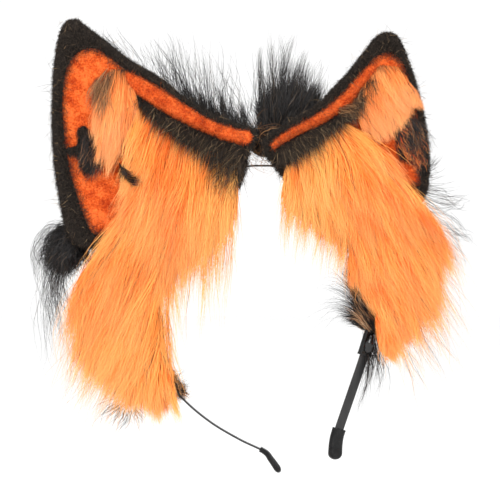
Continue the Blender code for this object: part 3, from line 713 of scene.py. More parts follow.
foam, tree, shader = new_finish("ear_foam_sheet", roughness=0.9, specular=0.2)
cells = tree.nodes.new("ShaderNodeTexVoronoi")
cells.inputs["Scale"].default_value = 1800
place = tree.nodes.new("ShaderNodeTexCoord")
tree.links.new(place.outputs["Object"], cells.inputs["Vector"])
tree.links.new(
    shaded(tree, cells.outputs["Distance"], [(0.1, (0.46, 0.44, 0.40)), (0.5, (0.62, 0.60, 0.56))]),
    shader.inputs["Base Color"],
)
relief(tree, shader, cells.outputs["Distance"], height=0.0002)
for name in ("left", "right"):
    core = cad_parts[f"{name}_ear_core"]
    core.data.materials.clear()
    core.data.materials.append(foam)

# ------------------------------------------------------------------ the felt linings
# The front of each ear is a panel of bright orange felt let into the shell. Its wool lies in
# every direction, and it is darker where it has been rubbed.

felt, tree, shader = new_finish("orange_felt", roughness=0.95, specular=0.1)
soft_patches, fine_wool = drift(tree, 170, 3.0), drift(tree, 1100, 5.0)
blend = tree.nodes.new("ShaderNodeMath")
blend.operation = "ADD"
half = tree.nodes.new("ShaderNodeMath")
half.operation = "MULTIPLY"
half.inputs[1].default_value = 0.5
tree.links.new(soft_patches, blend.inputs[0])
tree.links.new(fine_wool, blend.inputs[1])
tree.links.new(blend.outputs["Value"], half.inputs[0])
tree.links.new(
    shaded(tree, half.outputs["Value"], [(0.38, (0.38, 0.036, 0.006)), (0.49, (0.62, 0.090, 0.014)),
                                         (0.58, (0.82, 0.165, 0.034))]),
    shader.inputs["Base Color"],
)
relief(tree, shader, fine_wool, height=0.0005)
WOOL_TONES = [(0.0, (0.42, 0.045, 0.008)), (0.5, (0.66, 0.100, 0.016)), (1.0, (0.86, 0.20, 0.045))]
wool = fibre_finish(
    "orange_felt_wool", WOOL_TONES, tip=(0.80, 0.20, 0.06), tip_from=0.4, root=(0.38, 0.04, 0.008),
    roughness=0.9, tip_share=0.35,
)

rng = np.random.default_rng(31)
for ear, lining_cut in ((left_ear, LEFT_LINING), (right_ear, RIGHT_LINING)):
    outline = evenly(ear.outline(lining_cut), 0.0015)
    lining = layer(
        f"{ear.name}_felt_lining", ear, outline, LINING_FRONT + LINING_THICKNESS, LINING_FRONT - 0.0001,
        rounding=0.0009, seam=0.3, step=0.0024, finish=felt, rows=(0.0003, 0.0008),
    )
    points, faces = triangles_of(lining)
    spots, ways = scattered(points, faces, 15000, rng, lambda at, way: way[:, 1] < -0.3)
    rubbed = sum(np.sin(spots @ rng.normal(0, 420, 3) + rng.uniform(0, 6)) for _ in range(5))
    shades = np.clip(np.rint(7.5 + 2.2 * rubbed + rng.normal(0, 2.5, len(spots))), 0, 15).astype(int)
    hairs = short_pile(
        f"{ear.name}_felt_wool", spots, ways, (0, 0, 0), length=0.0011, width=0.00016, rng=rng, finish=wool,
        scatter=0.8, tones=shades,
    )
    for piece in (lining, hairs):
        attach(piece, "headpiece")
    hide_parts(f"{ear.name}_ear_lining")

# ------------------------------------------------------------------ the piping
# A strip of the same felt, rolled over a cord and stitched along the ear's inner edge, from
# near the ear's tip down to the crown.

TRIM_BACK = LINING_FRONT - FIT_GAP
LEFT_PIPING = [
    (0.640, 0.635), (0.494, 0.530), (0.276, 0.330), (0.133, 0.245), (0.060, 0.222),
    (0.055, 0.160), (0.100, 0.147), (0.204, 0.195), (0.423, 0.340), (0.607, 0.505),
]
RIGHT_PIPING = [
    (0.640, 0.748), (0.684, 0.760), (0.666, 0.690), (0.606, 0.607), (0.570, 0.547),
    (0.522, 0.465), (0.348, 0.326), (0.225, 0.251), (0.114, 0.170), (0.070, 0.120),
    (0.054, 0.158), (0.138, 0.248), (0.348, 0.399), (0.462, 0.510), (0.546, 0.625),
]
for ear, piping_cut in ((left_ear, LEFT_PIPING), (right_ear, RIGHT_PIPING)):
    outline = evenly(ear.outline(piping_cut), 0.0010)
    piping = layer(
        f"{ear.name}_rolled_piping", ear, outline, TRIM_BACK, TRIM_BACK - 0.0024, rounding=0.0026, seam=0.0,
        step=0.0014, finish=felt, rows=(0.00015, 0.0005, 0.0010),
    )
    points, faces = triangles_of(piping)
    spots, ways = scattered(points, faces, 5200, rng, lambda at, way: way[:, 1] < 0.1)
    hairs = short_pile(
        f"{ear.name}_piping_wool", spots, ways, (0, 0, 0), length=0.0010, width=0.00016, rng=rng,
        finish=wool, scatter=0.8, tones=(2, 14),
    )
    for piece in (piping, hairs):
        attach(piece, "headpiece")
    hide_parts(f"{ear.name}_ear_piping")

# ------------------------------------------------------------------ the plush folds
# Below the piping a fold of black plush hides where the cheek fur starts. Its pile is longer
# than the shell's, with brown and straw hairs in it, and hangs down over the fur.

LEFT_FOLD = [
    (0.596, 0.480), (0.423, 0.322), (0.204, 0.177), (0.100, 0.130), (0.078, 0.054),
    (0.090, -0.060), (0.145, -0.170), (0.205, -0.120), (0.271, 0.060), (0.413, 0.215),
    (0.532, 0.350),
]
RIGHT_FOLD = [
    (0.672, 0.672), (0.635, 0.560), (0.574, 0.440), (0.348, 0.225), (0.228, 0.112),
    (0.165, 0.060), (0.110, 0.060), (0.090, 0.105), (0.126, 0.152), (0.238, 0.230),
    (0.358, 0.300), (0.540, 0.446), (0.590, 0.528), (0.624, 0.588),
]
rng = np.random.default_rng(41)
for ear, fold_cut, lay in (
    (left_ear, LEFT_FOLD, (-0.45, -0.25, -1.0)), (right_ear, RIGHT_FOLD, (0.40, -0.25, -1.0)),
):
    outline = evenly(ear.outline(fold_cut), 0.0010)
    fold = layer(
        f"{ear.name}_plush_fold", ear, outline, TRIM_BACK, TRIM_BACK - 0.0012, rounding=0.0014, seam=0.0,
        step=0.0014, finish=plush_cloth, rows=(0.0002, 0.0006),
    )
    points, faces = triangles_of(fold)
    spots, ways = scattered(points, faces, 9000, rng, lambda at, way: way[:, 1] < 0.1)
    pile = short_pile(
        f"{ear.name}_plush_fold_pile", spots, ways, lay, length=0.0036, width=0.00020, rng=rng,
        finish=plush_pile, scatter=0.35, tones=(0, 13),
    )
    guard = short_pile(
        f"{ear.name}_plush_fold_long_hairs", spots[:1700] + (0, -0.0012, 0), ways[:1700] * 0.4, lay,
        length=0.0085, width=0.00013, rng=rng, finish=plush_pile, scatter=0.50, tones=(7, 16),
    )
    for piece in (fold, pile, guard):
        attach(piece, "headpiece")
    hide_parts(f"{ear.name}_ear_fold")

# ------------------------------------------------------------------ the black marks
# Small pieces of black plush are stitched onto the felt, two on the left ear and one on the
# right, with a few millimetres of pile that lies downward.

LEFT_OUTER_MARK = [
    (0.925, 0.118), (0.888, 0.128), (0.868, 0.155), (0.868, 0.250), (0.835, 0.262), (0.822, 0.150),
    (0.818, -0.010), (0.842, -0.040), (0.862, 0.030), (0.872, 0.090), (0.920, 0.080),
]
LEFT_INNER_MARK = [
    (0.675, 0.000), (0.642, -0.007), (0.580, -0.095), (0.608, -0.136), (0.646, -0.143), (0.665, -0.082),
]
RIGHT_MARK = [
    (0.820, 0.330), (0.888, 0.340), (0.918, 0.270), (0.922, 0.060), (0.838, 0.045), (0.806, 0.158),
]
rng = np.random.default_rng(51)
for ear, mark_name, mark_cut, lay, hair_count, palest in (
    (left_ear, "outer", LEFT_OUTER_MARK, (0.10, 0, -1.0), 2600, 13),
    (left_ear, "inner", LEFT_INNER_MARK, (0.30, 0, -0.7), 1300, 13),
    (right_ear, "outer", RIGHT_MARK, (0.35, 0, -1.0), 1700, 14),
):
    outline = evenly(ear.outline(mark_cut, 4), 0.0008)
    mark = layer(
        f"{ear.name}_{mark_name}_mark", ear, outline, TRIM_BACK, TRIM_BACK - 0.0010, rounding=0.0010,
        seam=0.0, step=0.0012, finish=plush_cloth, rows=(0.0002, 0.0005),
    )
    points, faces = triangles_of(mark)
    spots, ways = scattered(points, faces, hair_count, rng, lambda at, way: way[:, 1] < 0.1)
    pile = short_pile(
        f"{ear.name}_{mark_name}_mark_pile", spots, ways, lay, length=0.0022, width=0.00018, rng=rng,
        finish=plush_pile, scatter=0.3, tones=(0, palest),
    )
    for piece in (mark, pile):
        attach(piece, "headpiece")
    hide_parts(f"{ear.name}_ear_{mark_name}_patch")

# ------------------------------------------------------------------ black fur behind the ears
# Long black pile is sewn to the back of each ear and hangs down. Along the left ear's inner
# edge single hairs stand up above it, closer together towards the crown.

MM = 0.001


def combed(zone, guides, count, rng, lengths=(0.7, 1.05), short=1.0, clump=0.5, lock_size=3.0, waves=1.0,
           loose=0.05, points=8):
    """Fibres that start in a zone and follow the guides nearest to them, all in (x, z) millimetres.

    A guide is the line that the comb took. Lengths are shares of it, and a short above 1 makes
    short fibres commoner. It returns (fibre, point, xz) in metres and each fibre's lock.
    """
    zone = np.array(zone, float)
    low, high = zone.min(0), zone.max(0)
    places = low + (high - low) * rng.random((count * 8, 2))
    places = places[inside(places, zone)][:count]
    count = len(places)
    share = np.linspace(0, 1, points)
    starts, moves = [], []
    for guide in guides:
        line = smooth_line(guide, 8)
        run = np.concatenate([[0], np.cumsum(np.linalg.norm(np.diff(line, axis=0), axis=1))])
        line = np.stack([np.interp(share * run[-1], run, line[:, k]) for k in range(2)], 1)
        starts.append(line[0])
        moves.append(line - line[0])
    pull = 1 / (np.linalg.norm(places[:, None] - np.array(starts), axis=2) + 1.5) ** 3
    pull /= pull.sum(1)[:, None]
    lanes = np.einsum("fg,gpk->fpk", pull, np.array(moves))
    reach = (lengths[0] + (lengths[1] - lengths[0]) * rng.random(count) ** short)[:, None]
    turn = rng.normal(0, loose, count)[:, None]
    x, z = lanes[..., 0] * reach, lanes[..., 1] * reach
    paths = places[:, None] + np.stack(
        [x * np.cos(turn) - z * np.sin(turn), x * np.sin(turn) + z * np.cos(turn)], 2,
    )
    heads = np.arange(0, count, max(int(count * lock_size**2 / abs(area_of(zone))), 2))
    tree = KDTree(len(heads))
    for index, head in enumerate(heads):
        tree.insert((*places[head], 0), index)
    tree.balance()
    lock = np.array(
        [tree.find((*place, 0))[1] for place in places + rng.normal(0, lock_size * 0.15, (count, 2))],
    )
    draw = (clump * rng.uniform(0.45, 1.1, count))[:, None, None] * (share**1.2)[None, :, None]
    paths = paths * (1 - draw) + paths[heads[lock]] * draw
    sway, beat = rng.uniform(0, 2 * math.pi, (count, 1)), rng.uniform(0.5, 1.5, (count, 1))
    own = rng.uniform(0.3, 1.2, (count, 1)) * (np.sin(sway + 2 * math.pi * beat * share) - np.sin(sway))
    lock_sway, lock_beat = rng.uniform(0, 6.3, (len(heads), 1)), rng.uniform(0.5, 1.0, (len(heads), 1))
    shared = (np.sin(lock_sway + 2 * math.pi * lock_beat * share) - np.sin(lock_sway))[lock]
    paths[..., 0] += waves * share * (0.6 * own + 0.9 * shared)
    return paths * MM, lock


def grown(name, lines, depth, stand, widths, tones, roots, rng, finish, facing=(0, -1, 0), roll=0.6):
    """Fibres from combed lines: each stands off the depth it grows from by its own amount."""
    count, points = lines.shape[:2]
    share = np.linspace(0, 1, points)
    lift = stand[:, None] * share**0.55 * (1 - 0.30 * share)
    y = depth(lines.reshape(-1, 2)).reshape(count, points) + lift
    paths = np.stack([lines[..., 0], y, lines[..., 1]], 2)
    ways = np.array(facing, float) + rng.normal(0, roll, (count, 3))
    return ribbons(name, paths, rng.uniform(*widths, count) * MM, ways, tones, roots, finish)


black_fur = fibre_finish(
    "long_black_fur",
    [(0.0, (0.008, 0.007, 0.007)), (0.6, (0.016, 0.014, 0.014)), (0.9, (0.036, 0.032, 0.030)),
     (1.0, (0.22, 0.14, 0.08))],
    tip=(0.026, 0.024, 0.024), tip_from=0.5, root=(0.006, 0.005, 0.005), roughness=0.42, tip_share=0.6,
)


def behind(ear):
    """The depth of an ear's back."""

    def depth(places):
        return BACK_OF_SHELLS + FIT_GAP - np.minimum(ear.forward(places), EAR_CUP * 1.3)

    return depth


def behind_corner(places):
    """Behind the left ear, easing back towards the band below its corner."""
    on = np.clip((places[:, 1] + 0.066) / 0.022, 0, 1)
    return behind(left_ear)(places) * on - 0.004 * (1 - on)


def black_piece(
    name, body, zone, comb, count, seed, depth, stand, widths=(0.13, 0.28), stands_in=None, finish=None,
    darkest=0, palest=15, curl=0.0, facing=(0, 1, 0), **how,
):
    """One piece of black fur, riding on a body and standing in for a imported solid."""
    rng = np.random.default_rng(seed)
    lines, lock = combed(zone, comb, count, rng, **how)
    count = len(lines)
    if curl:
        share = np.linspace(0, 1, lines.shape[1])
        size = rng.uniform(0.15, 1.0, (count, 1)) * curl * MM * share**0.7
        phase = rng.uniform(0, 6.3, (count, 1)) + rng.uniform(5, 13, (count, 1)) * share
        lines[..., 0] += size * (np.cos(phase) - np.cos(phase[:, :1]))
        lines[..., 1] += size * (np.sin(phase) - np.sin(phase[:, :1]))
    lock_stand = rng.uniform(*stand, lock.max() + 1)[lock]
    stands = (0.5 * lock_stand + 0.5 * rng.uniform(*stand, count)) * MM
    fur = grown(name, lines, depth, stands, widths, rng.integers(darkest, palest, count),
                rng.integers(0, FIBRE_ROOTS, count), rng, finish or black_fur, facing, 0.8)
    if body:
        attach(fur, body)
    if stands_in:
        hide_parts(stands_in)
    return fur


black_piece(
    "left_black_back_fur", "headpiece",
    [(-12, 8), (-14, 14), (-26, 20), (-48, 34), (-66, 46), (-82, 56), (-90, 48), (-93, 10), (-88, -25),
     (-76, -34), (-55, -30), (-47, -18), (-38, -8), (-22, 2)],
    [[(-14, 10), (-20, 6), (-24, -2)], [(-44, 28), (-50, 20), (-54, 8)], [(-64, 42), (-70, 32), (-74, 20)],
     [(-82, 52), (-86, 42), (-88, 30)], [(-60, 14), (-64, 2), (-67, -10)], [(-38, 8), (-42, 0), (-46, -8)],
     [(-88, 4), (-90, -8), (-91, -18)], [(-62, -12), (-63, -22), (-63, -30)],
     [(-44, -8), (-47, -16), (-50, -22)], [(-84, -24), (-87, -31), (-92, -38)]], count=12500, seed=61,
    depth=behind(left_ear), stand=(1, 13), stands_in="left_back_fur", lengths=(0.5, 1.1), clump=0.6,
    loose=0.10,
)
for name, zone, count in (
    ("left_edge_far_hairs",
     [(-71, 50), (-50, 39), (-37, 30), (-26, 22), (-24, 26), (-35, 34), (-48, 43), (-70, 56)], 105),
    ("left_edge_near_hairs",
     [(-46, 36), (-37, 30), (-26, 22), (-10, 14), (-8, 18), (-24, 26), (-35, 34), (-45, 40)], 250),
):
    black_piece(
        name, "headpiece", zone,
        [[(-69, 52), (-73, 60), (-76, 68)], [(-58, 46), (-63, 57), (-68, 66)],
         [(-46, 40), (-50, 52), (-56, 66)], [(-34, 31), (-37, 45), (-44, 63)],
         [(-24, 24), (-26, 40), (-31, 60)], [(-12, 17), (-12, 34), (-17, 54)]], count=count, seed=62,
        depth=behind(left_ear), stand=(0, 6), widths=(0.12, 0.19), lengths=(0.30, 1.2), short=1.2, clump=0.3,
        lock_size=5.0, waves=2.2, loose=0.20,
    )
black_piece(
    "left_edge_fur", "headpiece",
    [(-38, 24), (-26, 18), (-10, 10), (-6, 15), (-12, 19), (-24, 25), (-36, 31)],
    [[(-36, 27), (-38, 36), (-42, 46)], [(-24, 22), (-25, 33), (-29, 46)], [(-12, 16), (-12, 30), (-16, 46)],
     [(-6, 14), (-5, 28), (-7, 44)]], count=2300, seed=63, depth=behind(left_ear), stand=(0, 8),
    widths=(0.12, 0.20), lengths=(0.10, 0.80), short=2.6, clump=0.75, lock_size=3.0, waves=1.2, loose=0.10,
)
black_piece(
    "right_black_back_fur", "headpiece",
    [(6, 6), (8, 12), (18, 20), (30, 30), (44, 45), (56, 54), (66, 46), (71, 22), (73, -4), (68, -14),
     (50, -13), (40, -10), (28, -2), (16, 2)],
    [[(10, 10), (16, 6), (20, -2)], [(26, 22), (32, 16), (36, 8)], [(42, 38), (48, 28), (52, 18)],
     [(56, 48), (60, 38), (63, 28)], [(62, 20), (65, 10), (67, 0)], [(40, 12), (42, 3), (44, -5)],
     [(70, 0), (74, -6), (78, -12)], [(50, -8), (53, -16), (56, -24)]], count=9000, seed=64,
    depth=behind(right_ear), stand=(1, 13), stands_in="right_back_fur", lengths=(0.5, 1.1), clump=0.6,
    loose=0.10,
)
black_piece(
    "right_edge_hairs", "headpiece", [(66, -16), (72, -14), (73, 2), (66, 2)],
    [[(71, -2), (80, -2), (86, 5)], [(70, -8), (82, -14), (95, -15)], [(70, -12), (82, -22), (92, -31)],
     [(68, -14), (78, -30), (89, -42)]], count=150, seed=65, depth=behind(right_ear), stand=(-2, 5),
    widths=(0.10, 0.17), lengths=(0.5, 1.1), clump=0.3, lock_size=4.0, waves=1.6, loose=0.16,
)

# ------------------------------------------------------------------ the tuft behind the crown
# A full tuft of the same black fur stands up between the ears: a dense core, with separate
# pointed wisps above it.

CROWN_ZONE = [(-4, 6), (-4, 12), (2, 21), (7, 27), (16, 29), (24, 27), (28, 20), (22, 11), (12, 5), (0, 4)]
CROWN_COMB = [
    [(-3, 9), (-5, 20), (-7, 30)], [(1, 18), (-2, 38), (-5, 60)], [(7, 24), (6, 44), (6, 64)],
    [(13, 26), (14, 45), (17, 65)], [(19, 26), (23, 43), (29, 60)], [(25, 24), (31, 36), (38, 48)],
    [(4, 10), (4, 22), (4, 33)], [(16, 11), (18, 26), (20, 38)],
]


def flat_at(same):
    """The same depth everywhere."""

    def depth(places):
        return 0 * places[:, 0] + same

    return depth


at_crown = flat_at(-0.0045)
black_piece(
    "crown_black_tuft", "headpiece", CROWN_ZONE, CROWN_COMB, count=12500, seed=71, depth=at_crown,
    stand=(-3, 15), widths=(0.14, 0.28), stands_in="crown_back_fur", lengths=(0.12, 0.48), short=1.5,
    clump=0.45, loose=0.20, waves=1.6, facing=(0, -1, 0),
)
black_piece(
    "crown_black_wisps", "headpiece", CROWN_ZONE, CROWN_COMB, count=2300, seed=72, depth=at_crown,
    stand=(-2, 13), widths=(0.12, 0.20), lengths=(0.40, 1.10), short=1.5, clump=0.92, lock_size=2.8,
    loose=0.13, waves=1.6, facing=(0, -1, 0),
)
stray_brown = fibre_finish(
    "stray_brown_hairs",
    [(0.0, (0.02, 0.014, 0.010)), (0.5, (0.19, 0.080, 0.034)), (1.0, (0.60, 0.30, 0.12))],
    tip=(0.56, 0.29, 0.12), tip_from=0.5, root=(0.03, 0.016, 0.010), roughness=0.6, tip_share=0.4,
)
black_piece(
    "crown_stray_curls", "headpiece", [(-9, 14), (-2, 17), (8, 14), (16, 8), (14, 3), (2, 2), (-9, 3)],
    [[(-6, 10), (-9, 6), (-8, 0), (-4, -2)], [(2, 8), (6, 5), (5, -1), (1, -2)],
     [(9, 8), (14, 10), (16, 5), (13, 0)], [(0, 12), (4, 17), (9, 16), (10, 11)],
     [(12, 6), (8, 2), (10, -2), (15, -4)]], count=110, seed=73, depth=flat_at(-0.0125), stand=(-5, -1),
    widths=(0.10, 0.16), finish=stray_brown, darkest=2, lengths=(0.6, 1.5), clump=0.15, loose=0.9, waves=1.5,
    points=14, curl=1.5, facing=(0, -1, 0),
)

# ------------------------------------------------------------------ curled fur at the left corner
# Past the left ear's lower corner the black fur was never combed: it is matted at the corner,
# curls round outside it, and trails down in thin wisps.

black_piece(
    "left_corner_fur_core", "headpiece",
    [(-84, -30), (-94, -27), (-99, -33), (-98, -43), (-92, -47), (-84, -42)],
    [[(-94, -30), (-98, -34), (-99, -41)], [(-96, -40), (-100, -45), (-102, -52)],
     [(-88, -40), (-90, -46), (-92, -51)], [(-90, -32), (-92, -38), (-94, -44)]], count=4200, seed=81,
    depth=behind_corner, stand=(-1, 9), stands_in="left_corner_fur", lengths=(0.3, 1.0), clump=0.3,
    lock_size=3.0, loose=0.5, waves=1.5, points=9, curl=1.4, facing=(0, -1, 0),
)
black_piece(
    "left_corner_curls", "headpiece",
    [(-92, -26), (-98, -28), (-102, -38), (-100, -50), (-94, -52), (-91, -40)],
    [[(-94, -28), (-101, -28), (-105, -41), (-102, -55)],
     [(-97, -34), (-103, -38), (-105, -48), (-100, -58)], [(-95, -46), (-99, -62), (-99, -80), (-96, -102)],
     [(-94, -42), (-98, -54), (-98, -66), (-95, -78)]], count=360, seed=82, depth=behind_corner,
    stand=(-2, 6), widths=(0.09, 0.17), lengths=(0.4, 1.15), short=1.5, clump=0.35, lock_size=3.0,
    loose=0.16, waves=1.6, points=14, curl=2.2, facing=(0, -1, 0),
)

# ------------------------------------------------------------------ fur round the legs
# A strip of black fur is wound round each leg from the ear down to the sleeve, which grips its
# end. On the right it flares away from the leg just above the sleeve, with straw hairs in it,
# and a few hairs trail below.

straw_and_black = fibre_finish(
    "black_fur_with_straw",
    [(0.0, (0.008, 0.007, 0.007)), (0.60, (0.020, 0.016, 0.014)), (0.74, (0.10, 0.05, 0.03)),
     (0.87, (0.58, 0.26, 0.11)), (1.0, (0.82, 0.55, 0.32))],
    tip=(0.05, 0.04, 0.035), tip_from=0.6, root=(0.006, 0.005, 0.005), roughness=0.5, tip_share=0.2,
)
on_band = flat_at(0.0)
black_piece(
    "left_leg_black_fur", "left_leg",
    [(-48, -45), (-52, -45), (-56, -60), (-56, -80), (-50, -97), (-44, -101), (-43, -99), (-50, -84),
     (-51, -62)],
    [[(-51, -46), (-53, -58), (-55, -68)], [(-53, -66), (-55, -78), (-57, -88)],
     [(-52, -80), (-53, -89), (-53, -96)], [(-48, -92), (-48, -98), (-46, -103)],
     [(-45, -98), (-44, -102), (-42, -106)]], count=4500, seed=91, depth=on_band, stand=(-5, 7),
    stands_in="left_side_fur", finish=straw_and_black, palest=13, lengths=(0.4, 1.0), clump=0.4,
    lock_size=2.0, loose=0.14, facing=(0, -1, 0),
)
black_piece(
    "right_leg_black_fur", "right_leg",
    [(49, -45), (53, -45), (56, -58), (57, -73), (54, -78), (50, -76), (50, -66), (51, -55)],
    [[(52, -46), (53, -53), (54, -60)], [(54, -56), (54, -63), (54, -69)],
     [(55, -66), (55, -71), (55, -76)]], count=3000, seed=92, depth=on_band, stand=(-4, 6),
    stands_in="right_side_fur", finish=straw_and_black, palest=12, lengths=(0.4, 1.0), clump=0.4,
    lock_size=2.0, loose=0.16, facing=(0, -1, 0),
)
black_piece(
    "left_leg_fur_end", "left_leg",
    [(-47, -99), (-43, -99), (-39, -104), (-37, -109), (-40, -111), (-45, -106)],
    [[(-44, -101), (-42, -104), (-39, -106)], [(-40, -106), (-38, -109), (-36, -110)],
     [(-42, -104), (-44, -107), (-43, -110)]], count=900, seed=97, depth=on_band, stand=(-5, 3),
    widths=(0.12, 0.20), finish=straw_and_black, darkest=6, palest=15, lengths=(0.4, 1.1), clump=0.3,
    lock_size=2.0, loose=0.9, curl=0.8, facing=(0, -1, 0),
)
RIGHT_FLARE = [
    [(55, -72), (52, -64), (49, -56), (47, -49)], [(53, -74), (48, -66), (44, -58), (42, -51)],
    [(51, -76), (46, -69), (41, -63), (37, -59)], [(50, -77), (44, -72), (37, -68), (30, -67)],
    [(57, -72), (56, -64), (54, -56), (52, -50)], [(50, -78), (45, -76), (39, -74), (33, -75)],
]
black_piece(
    "right_leg_flared_fur", "right_leg",
    [(48, -79), (49, -70), (47, -61), (52, -58), (57, -66), (58, -74), (56, -80)], RIGHT_FLARE, count=4200,
    seed=93, depth=on_band, stand=(-13, -6), widths=(0.11, 0.20), finish=straw_and_black, palest=10,
    lengths=(0.22, 1.0), short=1.25, clump=0.4, lock_size=2.0, loose=0.14, facing=(0, -1, 0),
)
black_piece(
    "right_leg_straw_hairs", "right_leg",
    [(50, -81), (51, -70), (49, -62), (53, -60), (57, -66), (57, -74), (55, -81)], RIGHT_FLARE, count=210,
    seed=95, depth=on_band, stand=(-15, -11), widths=(0.10, 0.15), finish=straw_and_black, darkest=13,
    palest=16, lengths=(0.3, 0.95), clump=0.2, loose=0.14, facing=(0, -1, 0),
)
black_piece(
    "right_leg_far_hairs", "right_leg", [(50, -78), (48, -66), (47, -58), (50, -58), (54, -68), (54, -76)],
    [[(50, -76), (40, -70), (31, -69), (22, -73)], [(49, -68), (40, -62), (33, -57), (28, -59)],
     [(48, -60), (42, -52), (39, -46), (37, -40)]], count=130, seed=96, depth=on_band, stand=(-11, -6),
    widths=(0.09, 0.14), finish=straw_and_black, palest=11, lengths=(0.5, 1.15), clump=0.3, loose=0.12,
    waves=1.6, facing=(0, -1, 0),
)
black_piece(
    "right_leg_trailing_hairs", "right_leg", [(49, -80), (54, -78), (57, -84), (55, -90), (50, -88)],
    [[(53, -80), (56, -92), (54, -106)], [(55, -84), (59, -94), (58, -104)],
     [(51, -86), (50, -102), (46, -122)]], count=170, seed=94, depth=on_band, stand=(-7, 4),
    widths=(0.12, 0.22), finish=straw_and_black, palest=11, lengths=(0.3, 1.05), clump=0.3, loose=0.08,
    waves=1.6, facing=(0, -1, 0),
)

# ------------------------------------------------------------------ the cheek fur
# Long orange fur, sewn on below the fold and on down the band. Its pile is combed outward and
# down in locks, with a black hair here and there. Its colour holds painted shade and light:
# a deeper red-orange underneath for the shade inside the pile, lighter on top where the light
# falls, and pale yellow at the thin tips for light shining through them.

BEFORE_BAND = -0.0065
ORANGE_TONES = [(0.0, (0.78, 0.080, 0.006)), (0.30, (0.92, 0.175, 0.018)), (0.58, (0.97, 0.300, 0.048)),
                (0.86, (1.0, 0.460, 0.110)), (0.925, (0.30, 0.12, 0.05)), (1.0, (0.02, 0.015, 0.012))]
# The pale yellow tip colour is painted light, for light shining through the thin tips.
orange_fur = fibre_finish(
    "long_orange_fur", ORANGE_TONES, tip=(1.0, 0.60, 0.22), tip_from=0.55, root=(0.30, 0.075, 0.018),
    roughness=0.55, tip_share=0.55,
)


def in_front(ear, on_ear_to, off_ear_from):
    """The depth that fur grows from: the ear's front, easing back to the band below it.

    It is on the ear down to one height, and off it from the other.
    """

    def depth(places):
        on = np.clip((places[:, 1] - off_ear_from) / (on_ear_to - off_ear_from), 0, 1)
        on = on * on * (3 - 2 * on)
        face = LINING_FRONT - np.minimum(ear.forward(places), EAR_CUP * 1.15)
        return face * on + BEFORE_BAND * (1 - on)

    return depth


def orange_piece(name, zone, comb, count, rng, depth, stand, widths, tones, finish, strays=0.005, roots=3,
                 paler_steps=0.0, **how):
    """One piece of orange fur, in locks that share their tone and how far they stand off.

    Its tones get paler towards the crown and at its lowest tips, by up to the given number of steps.
    """
    lines, lock = combed(zone, comb, count, rng, **how)
    count, locks = len(lines), lock.max() + 1
    by_crown = np.clip((0.042 - abs(lines[:, -1, 0])) / 0.020, 0, 1)
    at_foot = np.clip((-lines[:, -1, 1] - 0.078) / 0.025, 0, 1)
    paled = paler_steps * np.maximum(by_crown, 0.75 * at_foot)
    steps = rng.uniform(*tones, locks)[lock] + rng.normal(0, 1.2, count) + paled
    steps = np.where(rng.random(count) < strays, 15, np.clip(np.rint(steps), 0, 13)).astype(int)
    stands = (0.55 * rng.uniform(*stand, locks)[lock] + 0.45 * rng.uniform(*stand, count)) * MM
    return grown(name, lines, depth, stands, widths, steps, rng.integers(0, roots, count), rng, finish)


def over_hinge(fur):
    """Fur that hangs across a leg's bend has its placing baked into its mesh."""
    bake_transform(fur)


LEFT_CHEEK_ZONE = [
    (-59, 30), (-52, 27), (-36, 17), (-22, 10), (-13, 6), (-11.5, -2), (-20, -14), (-36, -24), (-45, -32),
    (-49, -60), (-46, -88), (-42, -100), (-50, -98), (-60, -88), (-68, -66), (-72, -50), (-74, -42),
    (-69, -30), (-63, -18), (-58, -9), (-56, 4), (-58, 16),
]
LEFT_CHEEK_COMB = [
    [(-12, 4), (-12, -8), (-13, -21), (-14, -34), (-15, -47)],
    [(-12, -2), (-13, -13), (-15, -25), (-17, -37)],
    [(-20, 10), (-21, -4), (-22, -18), (-23, -32), (-24, -45)],
    [(-30, 15), (-33, -2), (-35, -18), (-38, -34), (-40, -50)],
    [(-42, 22), (-48, 6), (-53, -14), (-58, -34), (-62, -52)],
    [(-50, 24), (-54, 10), (-60, -8), (-68, -26), (-75, -42)],
    [(-54, 26), (-57, 17), (-60, 9), (-62, 3)],
    [(-59, 28), (-62, 20), (-65, 12), (-67, 4)],
    [(-56, 8), (-58, 1), (-60, -7), (-63, -14)],
    [(-57, -8), (-64, -22), (-72, -35), (-80, -46), (-86, -56)],
    [(-68, -30), (-78, -43), (-87, -55), (-94, -67), (-96, -80)],
    [(-74, -38), (-84, -50), (-92, -62), (-97, -76), (-96, -92)],
    [(-50, -24), (-60, -46), (-68, -66), (-75, -84)],
    [(-30, -14), (-34, -28), (-37, -42), (-40, -54)],
    [(-42, -26), (-45, -44), (-48, -60), (-50, -76)],
    [(-62, -50), (-72, -68), (-82, -86), (-88, -103)],
    [(-50, -52), (-54, -72), (-60, -92), (-65, -110)],
    [(-50, -72), (-55, -90), (-62, -106), (-67, -121)],
    [(-48, -86), (-51, -99), (-53, -112), (-53, -124)],
    [(-44, -97), (-45, -106), (-44, -115), (-41, -124)],
    [(-60, -80), (-68, -91), (-76, -101), (-81, -110)],
]
RIGHT_CHEEK_ZONE = [
    (12, 4), (17, 8), (27, 16), (31, 22), (37, 23), (42, 17), (50, 8), (58, -1), (66, -9), (71, -14),
    (72, -24), (67, -40), (65, -58), (62, -82), (56, -81), (55, -70), (55, -58), (50, -52), (42, -44),
    (40, -20), (28, -12), (16, -8), (11, -2),
]
